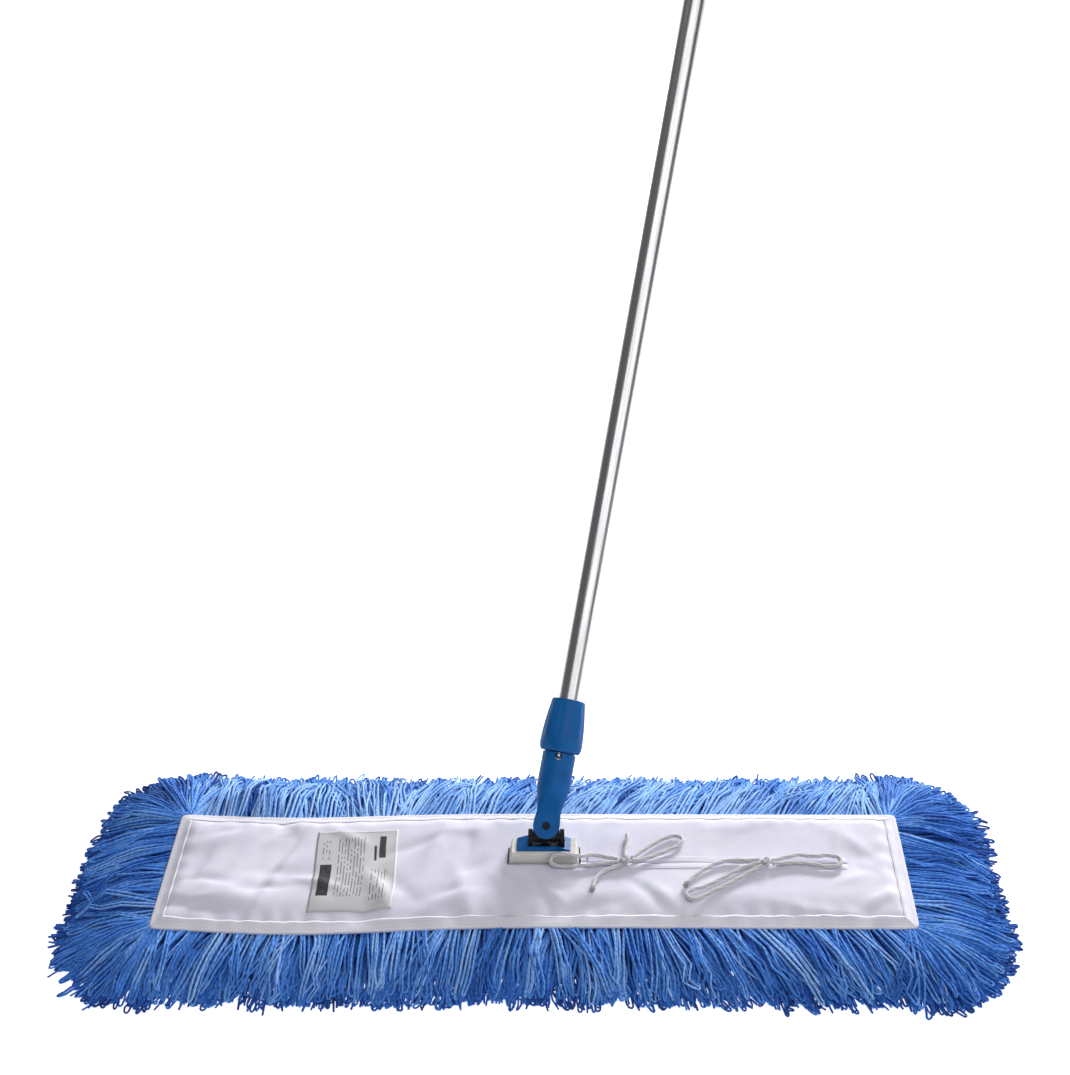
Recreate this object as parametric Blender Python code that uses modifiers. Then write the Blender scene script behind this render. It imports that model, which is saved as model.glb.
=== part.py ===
"""Flat dust-control mop: a looped-yarn sleeve on a wire frame, with a two-axis
joint, a plastic socket with a locking collar, and an aluminium handle.

Metres, +Z up. The origin lies on the floor under the middle of the canvas,
+X runs along the mop, +Y points away from the side with the snap button.
"""

import math

import bmesh
import bpy
from mathutils import Matrix, Vector

# ---- driving dimensions -------------------------------------------------
GAP = 0.0003  # left between pieces that touch
RUNNING = 0.0005  # each side of a piece that turns

CANVAS_LENGTH = 0.800
CANVAS_DEPTH = 0.181
CANVAS_THICK = 0.0012
YARN_PAD_THICK = 0.022
YARN_LENGTH_LONG_SIDES = 0.102
YARN_LENGTH_ENDS = 0.113
YARN_ROOT_HEIGHT = 0.024
YARN_TIP_HEIGHT = 0.006
ROOT_RADIUS = 0.004  # of the yarn pad's corners

WIRE_DIAMETER = 0.0065
WIRE_LOOP_LENGTH = CANVAS_LENGTH - 0.070
WIRE_LOOP_DEPTH = CANVAS_DEPTH - 0.085
WIRE_CORNER_RADIUS = 0.025

JOINT_X = 0.0135  # the tilt axis crosses the wire loop here
JOINT_Y = 0.010
BASE_SHIFT_X = -0.0030  # the base plate sits a little off the joint
BRIDGE_WIDTH = 0.044
BRIDGE_THICK = 0.0016
RISER_LENGTH = 0.076
RISER_DEPTH = 0.024
RISER_HEIGHT = 0.0165
RISER_WALL = 0.0018
BASE_LENGTH = 0.058
BASE_DEPTH = 0.0205
BASE_FLOOR = 0.0028
BASE_RIM = 0.0018

TILT_AXIS_HEIGHT = 0.012  # over the base's floor
SWING_OFFSET = 0.009  # from the tilt axis to the swing axis
EAR_RADIUS = 0.006
EAR_THICK = 0.0046
KNUCKLE_LENGTH = 0.0284
KNUCKLE_THICK = 0.013
TONGUE_RADIUS = 0.010
TILT_PIN_DIAMETER = 0.005
SCREW_DIAMETER = 0.004
SCREW_HEAD_DIAMETER = 0.008

TUBE_DIAMETER = 0.025
TUBE_WALL = 0.0012
TUBE_LENGTH = 1.400

FORK_RADIUS = 0.014
CHEEK_THICK = 0.0035
CROTCH_DEPTH = 0.018
SOCKET_DIAMETER = TUBE_DIAMETER + 0.011
SOCKET_SHOULDER = 0.042  # from the swing axis to the full round body
COLLAR_START = 0.0805
COLLAR_LENGTH = 0.057
COLLAR_DIAMETER = TUBE_DIAMETER + 0.0214
THREAD_DIAMETER = TUBE_DIAMETER + 0.007
COLLET_LENGTH = 0.0115

CAP_LENGTH = 0.056
HANG_HOLE_DIAMETER = 0.013

BUTTON_DIAMETER = 0.006
BUTTON_STATION = 0.0755  # from the swing axis
BUTTON_HOLE_DIAMETER = 0.008
BUTTON_PROUD = 0.0035  # beyond the tube's outside

TILT_BACK = math.radians(40.0)
SWING_RIGHT = math.radians(10.2)

TAPE_WIDTH = 0.014
TAPE_THICK = 0.0010
SLIT_END_X = CANVAS_LENGTH / 2 - 0.065
SLIT_WIDTH = 0.0012
OPENING_MARGIN = 0.0025
LABEL_SIZE = (0.089, CANVAS_DEPTH - 0.058)
LABEL_CENTRE = (-0.1935, -0.0045)
LABEL_THICK = 0.0005
CORD_DIAMETER = 0.0040

# ---- heights and places worked out from them ----------------------------
Z_BASE_CANVAS = YARN_PAD_THICK + GAP
Z_WIRE = Z_BASE_CANVAS + CANVAS_THICK + RUNNING + WIRE_DIAMETER / 2
Z_BRIDGE = Z_WIRE + WIRE_DIAMETER / 2 + GAP
Z_RISER = Z_BRIDGE + BRIDGE_THICK + GAP
Z_TOP_CANVAS = Z_BRIDGE + BRIDGE_THICK + RUNNING
Z_CANVAS_TOP = Z_TOP_CANVAS + CANVAS_THICK
Z_HEM = Z_BASE_CANVAS + CANVAS_THICK + GAP
Z_BASE = Z_RISER + RISER_HEIGHT + GAP
Z_FLOOR = Z_BASE + BASE_FLOOR
TILT_POINT = Vector((JOINT_X, JOINT_Y, Z_FLOOR + TILT_AXIS_HEIGHT))
BASE_X = JOINT_X + BASE_SHIFT_X
CANVAS_SLOPE = 0.024  # width of the sheet's slope from its hem to its flat
CHEEK_INNER = KNUCKLE_THICK / 2 + RUNNING
CHEEK_OUTER = CHEEK_INNER + CHEEK_THICK
SOCKET_BORE = TUBE_DIAMETER + 2 * GAP
SOCKET_FOOT = SOCKET_SHOULDER + 0.002
THREAD_END = COLLAR_START + COLLAR_LENGTH - COLLET_LENGTH - 0.0045
SHANK_HOLE = SCREW_DIAMETER / 2 + GAP

for old in list(bpy.data.objects):
    bpy.data.objects.remove(old, do_unlink=True)

parts = bpy.data.collections.new("flat_mop")
cutters = bpy.data.collections.new("cutters")
for collection in (parts, cutters):
    bpy.context.scene.collection.children.link(collection)


# ---- materials -----------------------------------------------------------
FINISHES = {
    "blue_yarn": ((0.03, 0.13, 0.50), 0.9, 0.0),
    "canvas": ((0.82, 0.81, 0.88), 0.85, 0.0),
    "tape": ((0.84, 0.83, 0.84), 0.8, 0.0),
    "label_cloth": ((0.74, 0.74, 0.76), 0.6, 0.0),
    "cotton_cord": ((0.78, 0.76, 0.75), 0.9, 0.0),
    "zinc_steel": ((0.62, 0.63, 0.65), 0.35, 1.0),
    "grey_steel": ((0.70, 0.70, 0.70), 0.45, 0.4),
    "blue_plastic": ((0.01, 0.10, 0.32), 0.35, 0.0),
    "black_plastic": ((0.02, 0.02, 0.025), 0.4, 0.0),
    "bright_steel": ((0.75, 0.76, 0.78), 0.2, 1.0),
    "anodised_aluminium": ((0.66, 0.67, 0.69), 0.3, 1.0),
    "natural_plastic": ((0.75, 0.75, 0.72), 0.4, 0.0),
}


def material_for(node, finish):
    colour, roughness, metallic = FINISHES[finish]
    material = bpy.data.materials.new(node)
    material.use_nodes = True
    shader = material.node_tree.nodes["Principled BSDF"]
    shader.inputs["Base Color"].default_value = (*colour, 1.0)
    shader.inputs["Roughness"].default_value = roughness
    shader.inputs["Metallic"].default_value = metallic
    return material


# ---- frames that carry the moving pieces ----------------------------------
def empty(name, parent=None, location=(0, 0, 0), turn=(0, 0, 0)):
    holder = bpy.data.objects.new(name, None)
    bpy.context.scene.collection.objects.link(holder)
    holder.parent = parent
    holder.location = location
    holder.rotation_euler = turn
    return holder


tilt_frame = empty("tilt_axis", None, TILT_POINT, (-TILT_BACK, 0, 0))
swing_frame = empty("swing_axis", tilt_frame, (0, 0, SWING_OFFSET), (0, SWING_RIGHT, 0))
base_frame = empty("base_frame", None, (BASE_X, JOINT_Y, 0))


# ---- modelling helpers ----------------------------------------------------
def place(item, finish=None, parent=None, location=(0, 0, 0), turn=(0, 0, 0)):
    """Puts an object with the parts (with a finish) or with the cutters."""
    item.parent = parent
    item.location = location
    item.rotation_euler = turn
    if finish is None:
        cutters.objects.link(item)
        item.hide_render = True
        item.display_type = "WIRE"
    else:
        parts.objects.link(item)
        item.data.materials.append(material_for(item.name, finish))
    return item


def mesh_object(name, bm):
    mesh = bpy.data.meshes.new(name)
    bmesh.ops.recalc_face_normals(bm, faces=bm.faces)
    bm.to_mesh(mesh)
    bm.free()
    return bpy.data.objects.new(name, mesh)


def box(name, size, centre=(0, 0, 0)):
    bm = bmesh.new()
    bmesh.ops.create_cube(bm, size=1.0, matrix=Matrix.Translation(centre) @ Matrix.Diagonal((*size, 1)))
    return mesh_object(name, bm)


def cylinder(name, radius, depth, axis="Z", centre=(0, 0, 0), sides=32):
    turn = {
        "X": Matrix.Rotation(math.pi / 2, 4, "Y"),
        "Y": Matrix.Rotation(-math.pi / 2, 4, "X"),
        "Z": Matrix.Identity(4),
    }[axis]
    bm = bmesh.new()
    bmesh.ops.create_cone(
        bm,
        cap_ends=True,
        segments=sides,
        radius1=radius,
        radius2=radius,
        depth=depth,
        matrix=Matrix.Translation(centre) @ turn,
    )
    return shade(mesh_object(name, bm))


def shade(item, angle=35.0):
    item.data.shade_smooth()
    item.data.set_sharp_from_angle(angle=math.radians(angle))
    return item


def arc(centre, radius, start, end, steps):
    """Points on an arc, angles in degrees, both ends included."""
    points = []
    for i in range(steps + 1):
        angle = math.radians(start + (end - start) * i / steps)
        points.append((centre[0] + radius * math.cos(angle), centre[1] + radius * math.sin(angle)))
    return points


def prism(name, outline, thickness, plane="XY"):
    """A flat outline with an extrude of half its thickness, as a mesh."""
    curve = bpy.data.curves.new(name, "CURVE")
    curve.dimensions = "2D"
    curve.fill_mode = "BOTH"
    curve.extrude = thickness / 2
    spline = curve.splines.new("POLY")
    spline.points.add(len(outline) - 1)
    for point, (x, y) in zip(spline.points, outline):
        point.co = (x, y, 0, 1)
    spline.use_cyclic_u = True
    item = mesh_from_curve(name, curve)
    turn = {
        "XY": Matrix.Identity(4),
        "XZ": Matrix.Rotation(math.pi / 2, 4, "X"),
        "YZ": Matrix(((0, 0, 1, 0), (1, 0, 0, 0), (0, 1, 0, 0), (0, 0, 0, 1))),
    }[plane]
    item.data.transform(turn)
    return item


def mesh_from_curve(name, curve):
    """The curve's surface as one closed mesh; its caps are welded on."""
    holder = bpy.data.objects.new(name, curve)
    bpy.context.scene.collection.objects.link(holder)
    graph = bpy.context.evaluated_depsgraph_get()
    mesh = bpy.data.meshes.new_from_object(holder.evaluated_get(graph))
    bpy.data.objects.remove(holder, do_unlink=True)
    bpy.data.curves.remove(curve)
    bm = bmesh.new()
    bm.from_mesh(mesh)
    bmesh.ops.remove_doubles(bm, verts=bm.verts, dist=0.00001)
    bmesh.ops.recalc_face_normals(bm, faces=bm.faces)
    bm.to_mesh(mesh)
    bm.free()
    mesh.name = name
    return bpy.data.objects.new(name, mesh)


def tube_along(name, points, radius, closed=False):
    """A round rod or cord through the points, eight-sided, with end caps."""
    curve = bpy.data.curves.new(name, "CURVE")
    curve.dimensions = "3D"
    curve.bevel_depth = radius
    curve.bevel_resolution = 2
    curve.use_fill_caps = not closed
    spline = curve.splines.new("POLY")
    spline.points.add(len(points) - 1)
    for point, co in zip(spline.points, points):
        point.co = (*co, 1)
    spline.use_cyclic_u = closed
    return shade(mesh_from_curve(name, curve))


def turned(name, profile, sides=32, hollow=False):
    """A (radius, height) profile, top to bottom down its outside, turned about Z.

    A solid's profile starts and ends on the axis; a hollow one's ends are joined.
    """
    bm = bmesh.new()
    corners = [bm.verts.new((radius, 0, height)) for radius, height in profile]
    followers = corners[1:] + (corners[:1] if hollow else [])
    for a, b in zip(corners, followers):
        bm.edges.new((a, b))
    mesh = bpy.data.meshes.new(name)
    bm.to_mesh(mesh)
    bm.free()
    item = bpy.data.objects.new(name, mesh)
    screw = item.modifiers.new("turn", "SCREW")
    screw.steps = sides
    screw.render_steps = sides
    screw.use_merge_vertices = True
    screw.merge_threshold = 0.00001
    screw.use_smooth_shade = True
    return item


def cut(item, cutter, operation="DIFFERENCE"):
    modifier = item.modifiers.new(cutter.name, "BOOLEAN")
    modifier.object = cutter
    modifier.operation = operation
    modifier.solver = "EXACT"
    return item


def smooth_route(points, spacing):
    """Points every spacing along a Catmull-Rom curve through the route's points."""
    route = [Vector(p) for p in points]
    ends = [2 * route[0] - route[1], *route, 2 * route[-1] - route[-2]]
    fine = []
    for a, b, c, d in zip(ends, ends[1:], ends[2:], ends[3:]):
        for i in range(16):
            t = i / 16
            fine.append(
                0.5 * (2 * b + (c - a) * t + (2 * a - 5 * b + 4 * c - d) * t * t)
                + 0.5 * (3 * b - a - 3 * c + d) * t**3
            )
    fine.append(route[-1])
    length = sum((q - p).length for p, q in zip(fine, fine[1:]))
    count = max(2, round(length / spacing))
    kept, walked, target = [fine[0]], 0.0, length / count
    for p, q in zip(fine, fine[1:]):
        step = (q - p).length
        while walked + step >= target - 1e-9 and len(kept) < count:
            kept.append(p.lerp(q, min(1.0, (target - walked) / max(step, 1e-9))))
            target += length / count
        walked += step
    kept.append(fine[-1])
    return kept


# ---- the yarn: a pad under the canvas and a fringe on each side ------------
def yarn_pad():
    """The yarn under the canvas, as wide as the canvas and its edge tape."""
    half_x = CANVAS_LENGTH / 2 + TAPE_THICK + GAP
    half_y = CANVAS_DEPTH / 2 + TAPE_THICK + GAP
    x, y = half_x - ROOT_RADIUS, half_y - ROOT_RADIUS
    outline = []
    for i, (sx, sy) in enumerate(((1, 1), (-1, 1), (-1, -1), (1, -1))):
        outline += arc((sx * x, sy * y), ROOT_RADIUS, 90 * i, 90 * i + 90, 6)
    pad = prism("yarn_pad", outline, YARN_PAD_THICK)
    place(pad, "blue_yarn", None, (0, 0, YARN_PAD_THICK / 2))
    return half_x, half_y


def fringe(name, inner, outer):
    """Yarn from a root line to a tip line: tall and blunt at the root, thin at the tip."""
    heights = ((0.0, YARN_ROOT_HEIGHT), (0.45, 0.86 * YARN_ROOT_HEIGHT), (1.0, YARN_TIP_HEIGHT))
    bm = bmesh.new()
    rows = []
    for root, tip in zip(inner, outer):
        root, tip = Vector((*root, 0)), Vector((*tip, 0))
        row = [bm.verts.new(root)]
        row += [bm.verts.new(root.lerp(tip, share) + Vector((0, 0, height))) for share, height in heights]
        row.append(bm.verts.new(tip))
        rows.append(row)
    for a, b in zip(rows, rows[1:]):
        for i in range(len(a)):
            j = (i + 1) % len(a)
            bm.faces.new((a[i], a[j], b[j], b[i]))
    for end in (rows[0], rows[-1]):
        bm.faces.new(end)
    return shade(mesh_object(name, bm), 30)


def fringes(half_x, half_y):
    """Four fringes, mitred at the corners, where the yarn fans out."""
    x_out, y_out = half_x + YARN_LENGTH_ENDS, half_y + YARN_LENGTH_LONG_SIDES
    fan_x, fan_y = YARN_LENGTH_ENDS + ROOT_RADIUS, YARN_LENGTH_LONG_SIDES + ROOT_RADIUS
    cx, cy = half_x - ROOT_RADIUS, half_y - ROOT_RADIUS
    mitre = 45.0
    split = 0.25  # degrees left clear on each side of a mitre

    def corner(start, end, steps):
        """Root and tip points of one quarter, as angles from the long side's normal."""
        found = []
        for i in range(steps + 1):
            angle = math.radians(start + (end - start) * i / steps)
            s, c = math.sin(angle), math.cos(angle)
            root = (cx + (ROOT_RADIUS + GAP) * s, cy + (ROOT_RADIUS + GAP) * c)
            found.append((root, (cx + fan_x * s, cy + fan_y * c)))
        return found

    steps = 5
    long_quarter = corner(0, mitre - split, steps)
    long_half = [((0.0, half_y + GAP), (0.0, y_out))] + long_quarter
    end_quarter = corner(90, mitre + split, steps)
    end_half = [((half_x + GAP, 0.0), (x_out, 0.0))] + end_quarter
    for name, sign in (("fringe_front", -1), ("fringe_back", 1)):
        whole = [[(-x, sign * y) for x, y in pair] for pair in reversed(long_half[1:])]
        whole += [[(x, sign * y) for x, y in pair] for pair in long_half]
        place(fringe(name, [p[0] for p in whole], [p[1] for p in whole]), "blue_yarn")
    for name, sign in (("fringe_left", -1), ("fringe_right", 1)):
        whole = [[(sign * x, -y) for x, y in pair] for pair in reversed(end_half[1:])]
        whole += [[(sign * x, y) for x, y in pair] for pair in end_half]
        place(fringe(name, [p[0] for p in whole], [p[1] for p in whole]), "blue_yarn")


# ---- the canvas sleeve ------------------------------------------------------
def sloped_sheet(name, insets, thickness, filled):
    """An open sheet from rings (inset, height) of the canvas outline, given a thickness."""
    bm = bmesh.new()
    rings = []
    for inset, height in insets:
        x, y = CANVAS_LENGTH / 2 - inset, CANVAS_DEPTH / 2 - inset
        corners = ((-x, -y), (x, -y), (x, y), (-x, y))
        rings.append([bm.verts.new((px, py, height)) for px, py in corners])
    for a, b in zip(rings, rings[1:]):
        for i in range(4):
            j = (i + 1) % 4
            bm.faces.new((a[i], a[j], b[j], b[i]))
    if filled:
        bm.faces.new(rings[-1])
    item = mesh_object(name, bm)
    solid = item.modifiers.new("cloth", "SOLIDIFY")
    solid.thickness = thickness
    solid.offset = 1.0
    return item


def canvas():
    base = box(
        "base_canvas",
        (CANVAS_LENGTH, CANVAS_DEPTH, CANVAS_THICK),
        (0, 0, Z_BASE_CANVAS + CANVAS_THICK / 2),
    )
    place(base, "canvas")
    top = sloped_sheet("top_canvas", ((0.0, Z_HEM), (CANVAS_SLOPE, Z_TOP_CANVAS)), CANVAS_THICK, True)
    place(top, "canvas")
    tall = 4 * CANVAS_THICK
    opening_x = RISER_LENGTH + 2 * OPENING_MARGIN
    opening_y = RISER_DEPTH + 2 * OPENING_MARGIN
    middle = Z_TOP_CANVAS + CANVAS_THICK / 2
    opening = box("canvas_opening", (opening_x, opening_y, tall), (BASE_X, JOINT_Y, middle))
    slit_start = BASE_X + opening_x / 2 - OPENING_MARGIN
    slit_length = SLIT_END_X - slit_start
    slit = box("canvas_slit", (slit_length, SLIT_WIDTH, tall), (slit_start + slit_length / 2, 0, middle))
    cut(top, place(opening))
    cut(top, place(slit))
    fall = (Z_TOP_CANVAS - Z_HEM) / CANVAS_SLOPE
    lift = CANVAS_THICK * 1.25 + GAP
    tape_in = TAPE_WIDTH - TAPE_THICK
    ring = sloped_sheet(
        "edge_binding",
        ((-TAPE_THICK, Z_HEM + lift), (0.0, Z_HEM + lift), (tape_in, Z_HEM + lift + fall * tape_in)),
        TAPE_THICK,
        False,
    )
    place(ring, "tape")
    hem_start = BASE_X + opening_x / 2 + 0.006
    hem_width = 0.009
    z_hem = Z_CANVAS_TOP + GAP + TAPE_THICK / 2
    for name, sign in (("slit_hem_front", -1), ("slit_hem_back", 1)):
        hem = box(
            name,
            (SLIT_END_X - hem_start, hem_width, TAPE_THICK),
            ((SLIT_END_X + hem_start) / 2, sign * (SLIT_WIDTH + hem_width) / 2, z_hem),
        )
        place(hem, "tape")
    label = box(
        "care_label",
        (*LABEL_SIZE, LABEL_THICK),
        (*LABEL_CENTRE, Z_CANVAS_TOP + GAP + LABEL_THICK / 2),
    )
    place(label, "label_cloth")


# ---- the steel frame inside the sleeve --------------------------------------
def wire_frame():
    half_x = WIRE_LOOP_LENGTH / 2 - WIRE_CORNER_RADIUS
    half_y = WIRE_LOOP_DEPTH / 2 - WIRE_CORNER_RADIUS
    outline = []
    for i, (sx, sy) in enumerate(((1, 1), (-1, 1), (-1, -1), (1, -1))):
        outline += arc((sx * half_x, sy * half_y), WIRE_CORNER_RADIUS, 90 * i, 90 * i + 90, 5)
    loop = tube_along("wire_frame", [(x, y, 0) for x, y in outline], WIRE_DIAMETER / 2, closed=True)
    place(loop, "zinc_steel", None, (0, JOINT_Y, Z_WIRE))


def bridge():
    """A strap over both wires, its lips turned down outside them."""
    top = BRIDGE_THICK
    outer = WIRE_LOOP_DEPTH / 2 + WIRE_DIAMETER / 2 + GAP + BRIDGE_THICK
    inner = outer - BRIDGE_THICK
    lip = -0.6 * WIRE_DIAMETER
    outline = (
        (-outer, lip),
        (-inner, lip),
        (-inner, 0),
        (inner, 0),
        (inner, lip),
        (outer, lip),
        (outer, top),
        (-outer, top),
    )
    strap = prism("frame_bridge", outline, BRIDGE_WIDTH, "YZ")
    place(strap, "zinc_steel", base_frame, (0, 0, Z_BRIDGE))


def rivet_places():
    return [JOINT_X - BASE_X + side * 0.0075 for side in (-1, 1)]


def riser():
    """A pressed channel, open below, with slanted ends, that lifts the joint."""
    top_x, foot_x = RISER_LENGTH / 2 - 0.004, RISER_LENGTH / 2
    outline = ((-foot_x, 0), (foot_x, 0), (top_x, RISER_HEIGHT), (-top_x, RISER_HEIGHT))
    body = prism("riser_channel", outline, RISER_DEPTH, "XZ")
    place(body, "grey_steel", base_frame, (0, 0, Z_RISER))
    inside = ((top_x - foot_x) / RISER_HEIGHT) * (RISER_HEIGHT - RISER_WALL)
    wall = RISER_WALL
    foot = foot_x - wall
    hollow_outline = (
        (-foot, -wall),
        (foot, -wall),
        (foot + inside, RISER_HEIGHT - wall),
        (-foot - inside, RISER_HEIGHT - wall),
    )
    hollow = prism("riser_hollow", hollow_outline, RISER_DEPTH - 2 * wall, "XZ")
    cut(body, place(hollow, None, base_frame, (0, 0, Z_RISER)))
    for i, x in enumerate(rivet_places()):
        hole = cylinder(f"riser_hole_{i}", 0.0025 + GAP, 0.02, "Z", sides=20)
        cut(body, place(hole, None, base_frame, (x, 0, Z_RISER + RISER_HEIGHT)))
    shade(body)


# ---- the joint ----------------------------------------------------------------
def joint_base():
    """A blue plate with a low rim and ramped ends, open in the middle for the yoke."""
    ramp = 0.012
    half, height = BASE_LENGTH / 2, BASE_FLOOR + 0.0025
    profile = (
        (-half, 0),
        (half, 0),
        (half, 0.0012),
        (half - ramp, height),
        (-half + ramp, height),
        (-half, 0.0012),
    )
    plate = prism("joint_base", profile, BASE_DEPTH, "XZ")
    place(plate, "blue_plastic", base_frame, (0, 0, Z_BASE))
    window_x, window_y = yoke_length() + 2 * GAP, yoke_depth() + 2 * GAP
    window = box("base_window", (window_x, window_y, 0.03))
    cut(plate, place(window, None, base_frame, (JOINT_X - BASE_X, 0, Z_BASE)))
    sweep = cylinder("base_sweep", sweep_radius(), 2 * FORK_RADIUS + 0.0036, "X", sides=48)
    cut(plate, place(sweep, None, None, TILT_POINT))
    shade(plate)


def sweep_radius():
    """The cheeks' lower corners pass this far from the tilt axis, with clearance."""
    return math.hypot(CHEEK_OUTER, FORK_RADIUS - SWING_OFFSET) + RUNNING / 2


def yoke_length():
    return KNUCKLE_LENGTH + 2 * (RUNNING + EAR_THICK)


def yoke_depth():
    return BASE_DEPTH - 2 * BASE_RIM - 2 * GAP


def yoke():
    """A black plate with two ears that hold the tilt pin."""
    half = yoke_length() / 2
    inner = half - EAR_THICK
    top = TILT_AXIS_HEIGHT + EAR_RADIUS
    front = (
        (-half, -BASE_FLOOR),
        (half, -BASE_FLOOR),
        (half, top),
        (inner, top),
        (inner, 0),
        (-inner, 0),
        (-inner, top),
        (-half, top),
    )
    body = prism("joint_yoke", front, yoke_depth(), "XZ")
    place(body, "black_plastic", None, (JOINT_X, JOINT_Y, Z_FLOOR))
    foot = yoke_depth() / 2
    side = [(-foot, -BASE_FLOOR - 0.001), (foot, -BASE_FLOOR - 0.001), (foot, 0.0015), (EAR_RADIUS, 0.0015)]
    side += arc((0, TILT_AXIS_HEIGHT), EAR_RADIUS, 0, 180, 12)
    side += [(-EAR_RADIUS, 0.0015), (-foot, 0.0015)]
    outline = prism("ear_outline", side, 2 * half + 0.01, "YZ")
    cut(body, place(outline, None, None, (JOINT_X, JOINT_Y, Z_FLOOR)), "INTERSECT")
    pin_hole = cylinder("yoke_pin_hole", TILT_PIN_DIAMETER / 2 + GAP, 0.06, "X", sides=24)
    cut(body, place(pin_hole, None, None, TILT_POINT))
    for i, x in enumerate(rivet_places()):
        shank = cylinder(f"yoke_hole_{i}", 0.0025 + GAP, 0.02, "Z", sides=20)
        cut(body, place(shank, None, base_frame, (x, 0, Z_BASE)))
    shade(body)


def rivets():
    """Two rivets, flush on top, clench the yoke to the riser."""
    head, tail = 0.0008, 0.0012
    bottom = Z_RISER + RISER_HEIGHT - RISER_WALL - GAP
    top = Z_FLOOR - RUNNING
    for name, x in zip(("yoke_rivet_left", "yoke_rivet_right"), rivet_places()):
        profile = (
            (0.0, top),
            (0.0025, top),
            (0.0025, bottom),
            (0.0040, bottom),
            (0.0040 - head / 2, bottom - tail),
            (0.0, bottom - tail),
        )
        place(turned(name, profile, 20), "bright_steel", base_frame, (x, 0, 0))


def knuckle():
    """The black block between the ears: a barrel with a tongue for the fork."""
    half, low = KNUCKLE_LENGTH / 2, -KNUCKLE_THICK / 2
    shoulder = 0.0045
    front = [(-half, low), (half, low), (half, shoulder)]
    front += arc((0, SWING_OFFSET), TONGUE_RADIUS, 0, 180, 18)
    front.append((-half, shoulder))
    body = prism("joint_knuckle", front, KNUCKLE_THICK, "XZ")
    place(body, "black_plastic", tilt_frame)
    high = SWING_OFFSET + TONGUE_RADIUS + 0.002
    side = arc((0, 0), KNUCKLE_THICK / 2, 180, 360, 14)
    side += [(KNUCKLE_THICK / 2, high), (-KNUCKLE_THICK / 2, high)]
    cut(body, place(prism("knuckle_side", side, 0.05, "YZ"), None, tilt_frame), "INTERSECT")
    pin_hole = cylinder("knuckle_pin_hole", TILT_PIN_DIAMETER / 2 + GAP, 0.06, "X", sides=24)
    cut(body, place(pin_hole, None, tilt_frame))
    screw_hole = cylinder("knuckle_screw_hole", SHANK_HOLE, 0.04, "Y", sides=20)
    cut(body, place(screw_hole, None, tilt_frame, (0, 0, SWING_OFFSET)))
    shade(body)


def pins():
    length = yoke_length() - 2 * GAP
    place(cylinder("tilt_pin", TILT_PIN_DIAMETER / 2, length, "X", sides=24), "bright_steel", tilt_frame)
    head_outer, head_inner = CHEEK_OUTER - 0.0007, CHEEK_OUTER - 0.0022
    shank_end = 0.0008
    for name, sign in (("swing_screw_front", -1), ("swing_screw_rear", 1)):
        profile = (
            (0.0, head_outer),
            (0.0012, head_outer),
            (SCREW_HEAD_DIAMETER / 2 - 0.0004, head_outer - 0.0001),
            (SCREW_HEAD_DIAMETER / 2, head_inner + 0.0007),
            (SCREW_HEAD_DIAMETER / 2, head_inner),
            (SCREW_DIAMETER / 2, head_inner),
            (SCREW_DIAMETER / 2, shank_end),
            (0.0, shank_end),
        )
        turn = (-sign * math.pi / 2, 0, 0)
        place(turned(name, profile, 20), "bright_steel", tilt_frame, (0, 0, SWING_OFFSET), turn)


# ---- socket, collar and handle, along the swing frame's +Z ---------------------
def section(height, half_x, half_y, corner):
    """A rounded-rectangle ring of 32 points; corner equal to both halves is a circle."""
    ring = []
    for i, (sx, sy) in enumerate(((1, 1), (-1, 1), (-1, -1), (1, -1))):
        centre = (sx * (half_x - corner), sy * (half_y - corner))
        for x, y in arc(centre, corner, 90 * i, 90 * i + 90, 7):
            ring.append((x, y, height))
    return ring


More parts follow.
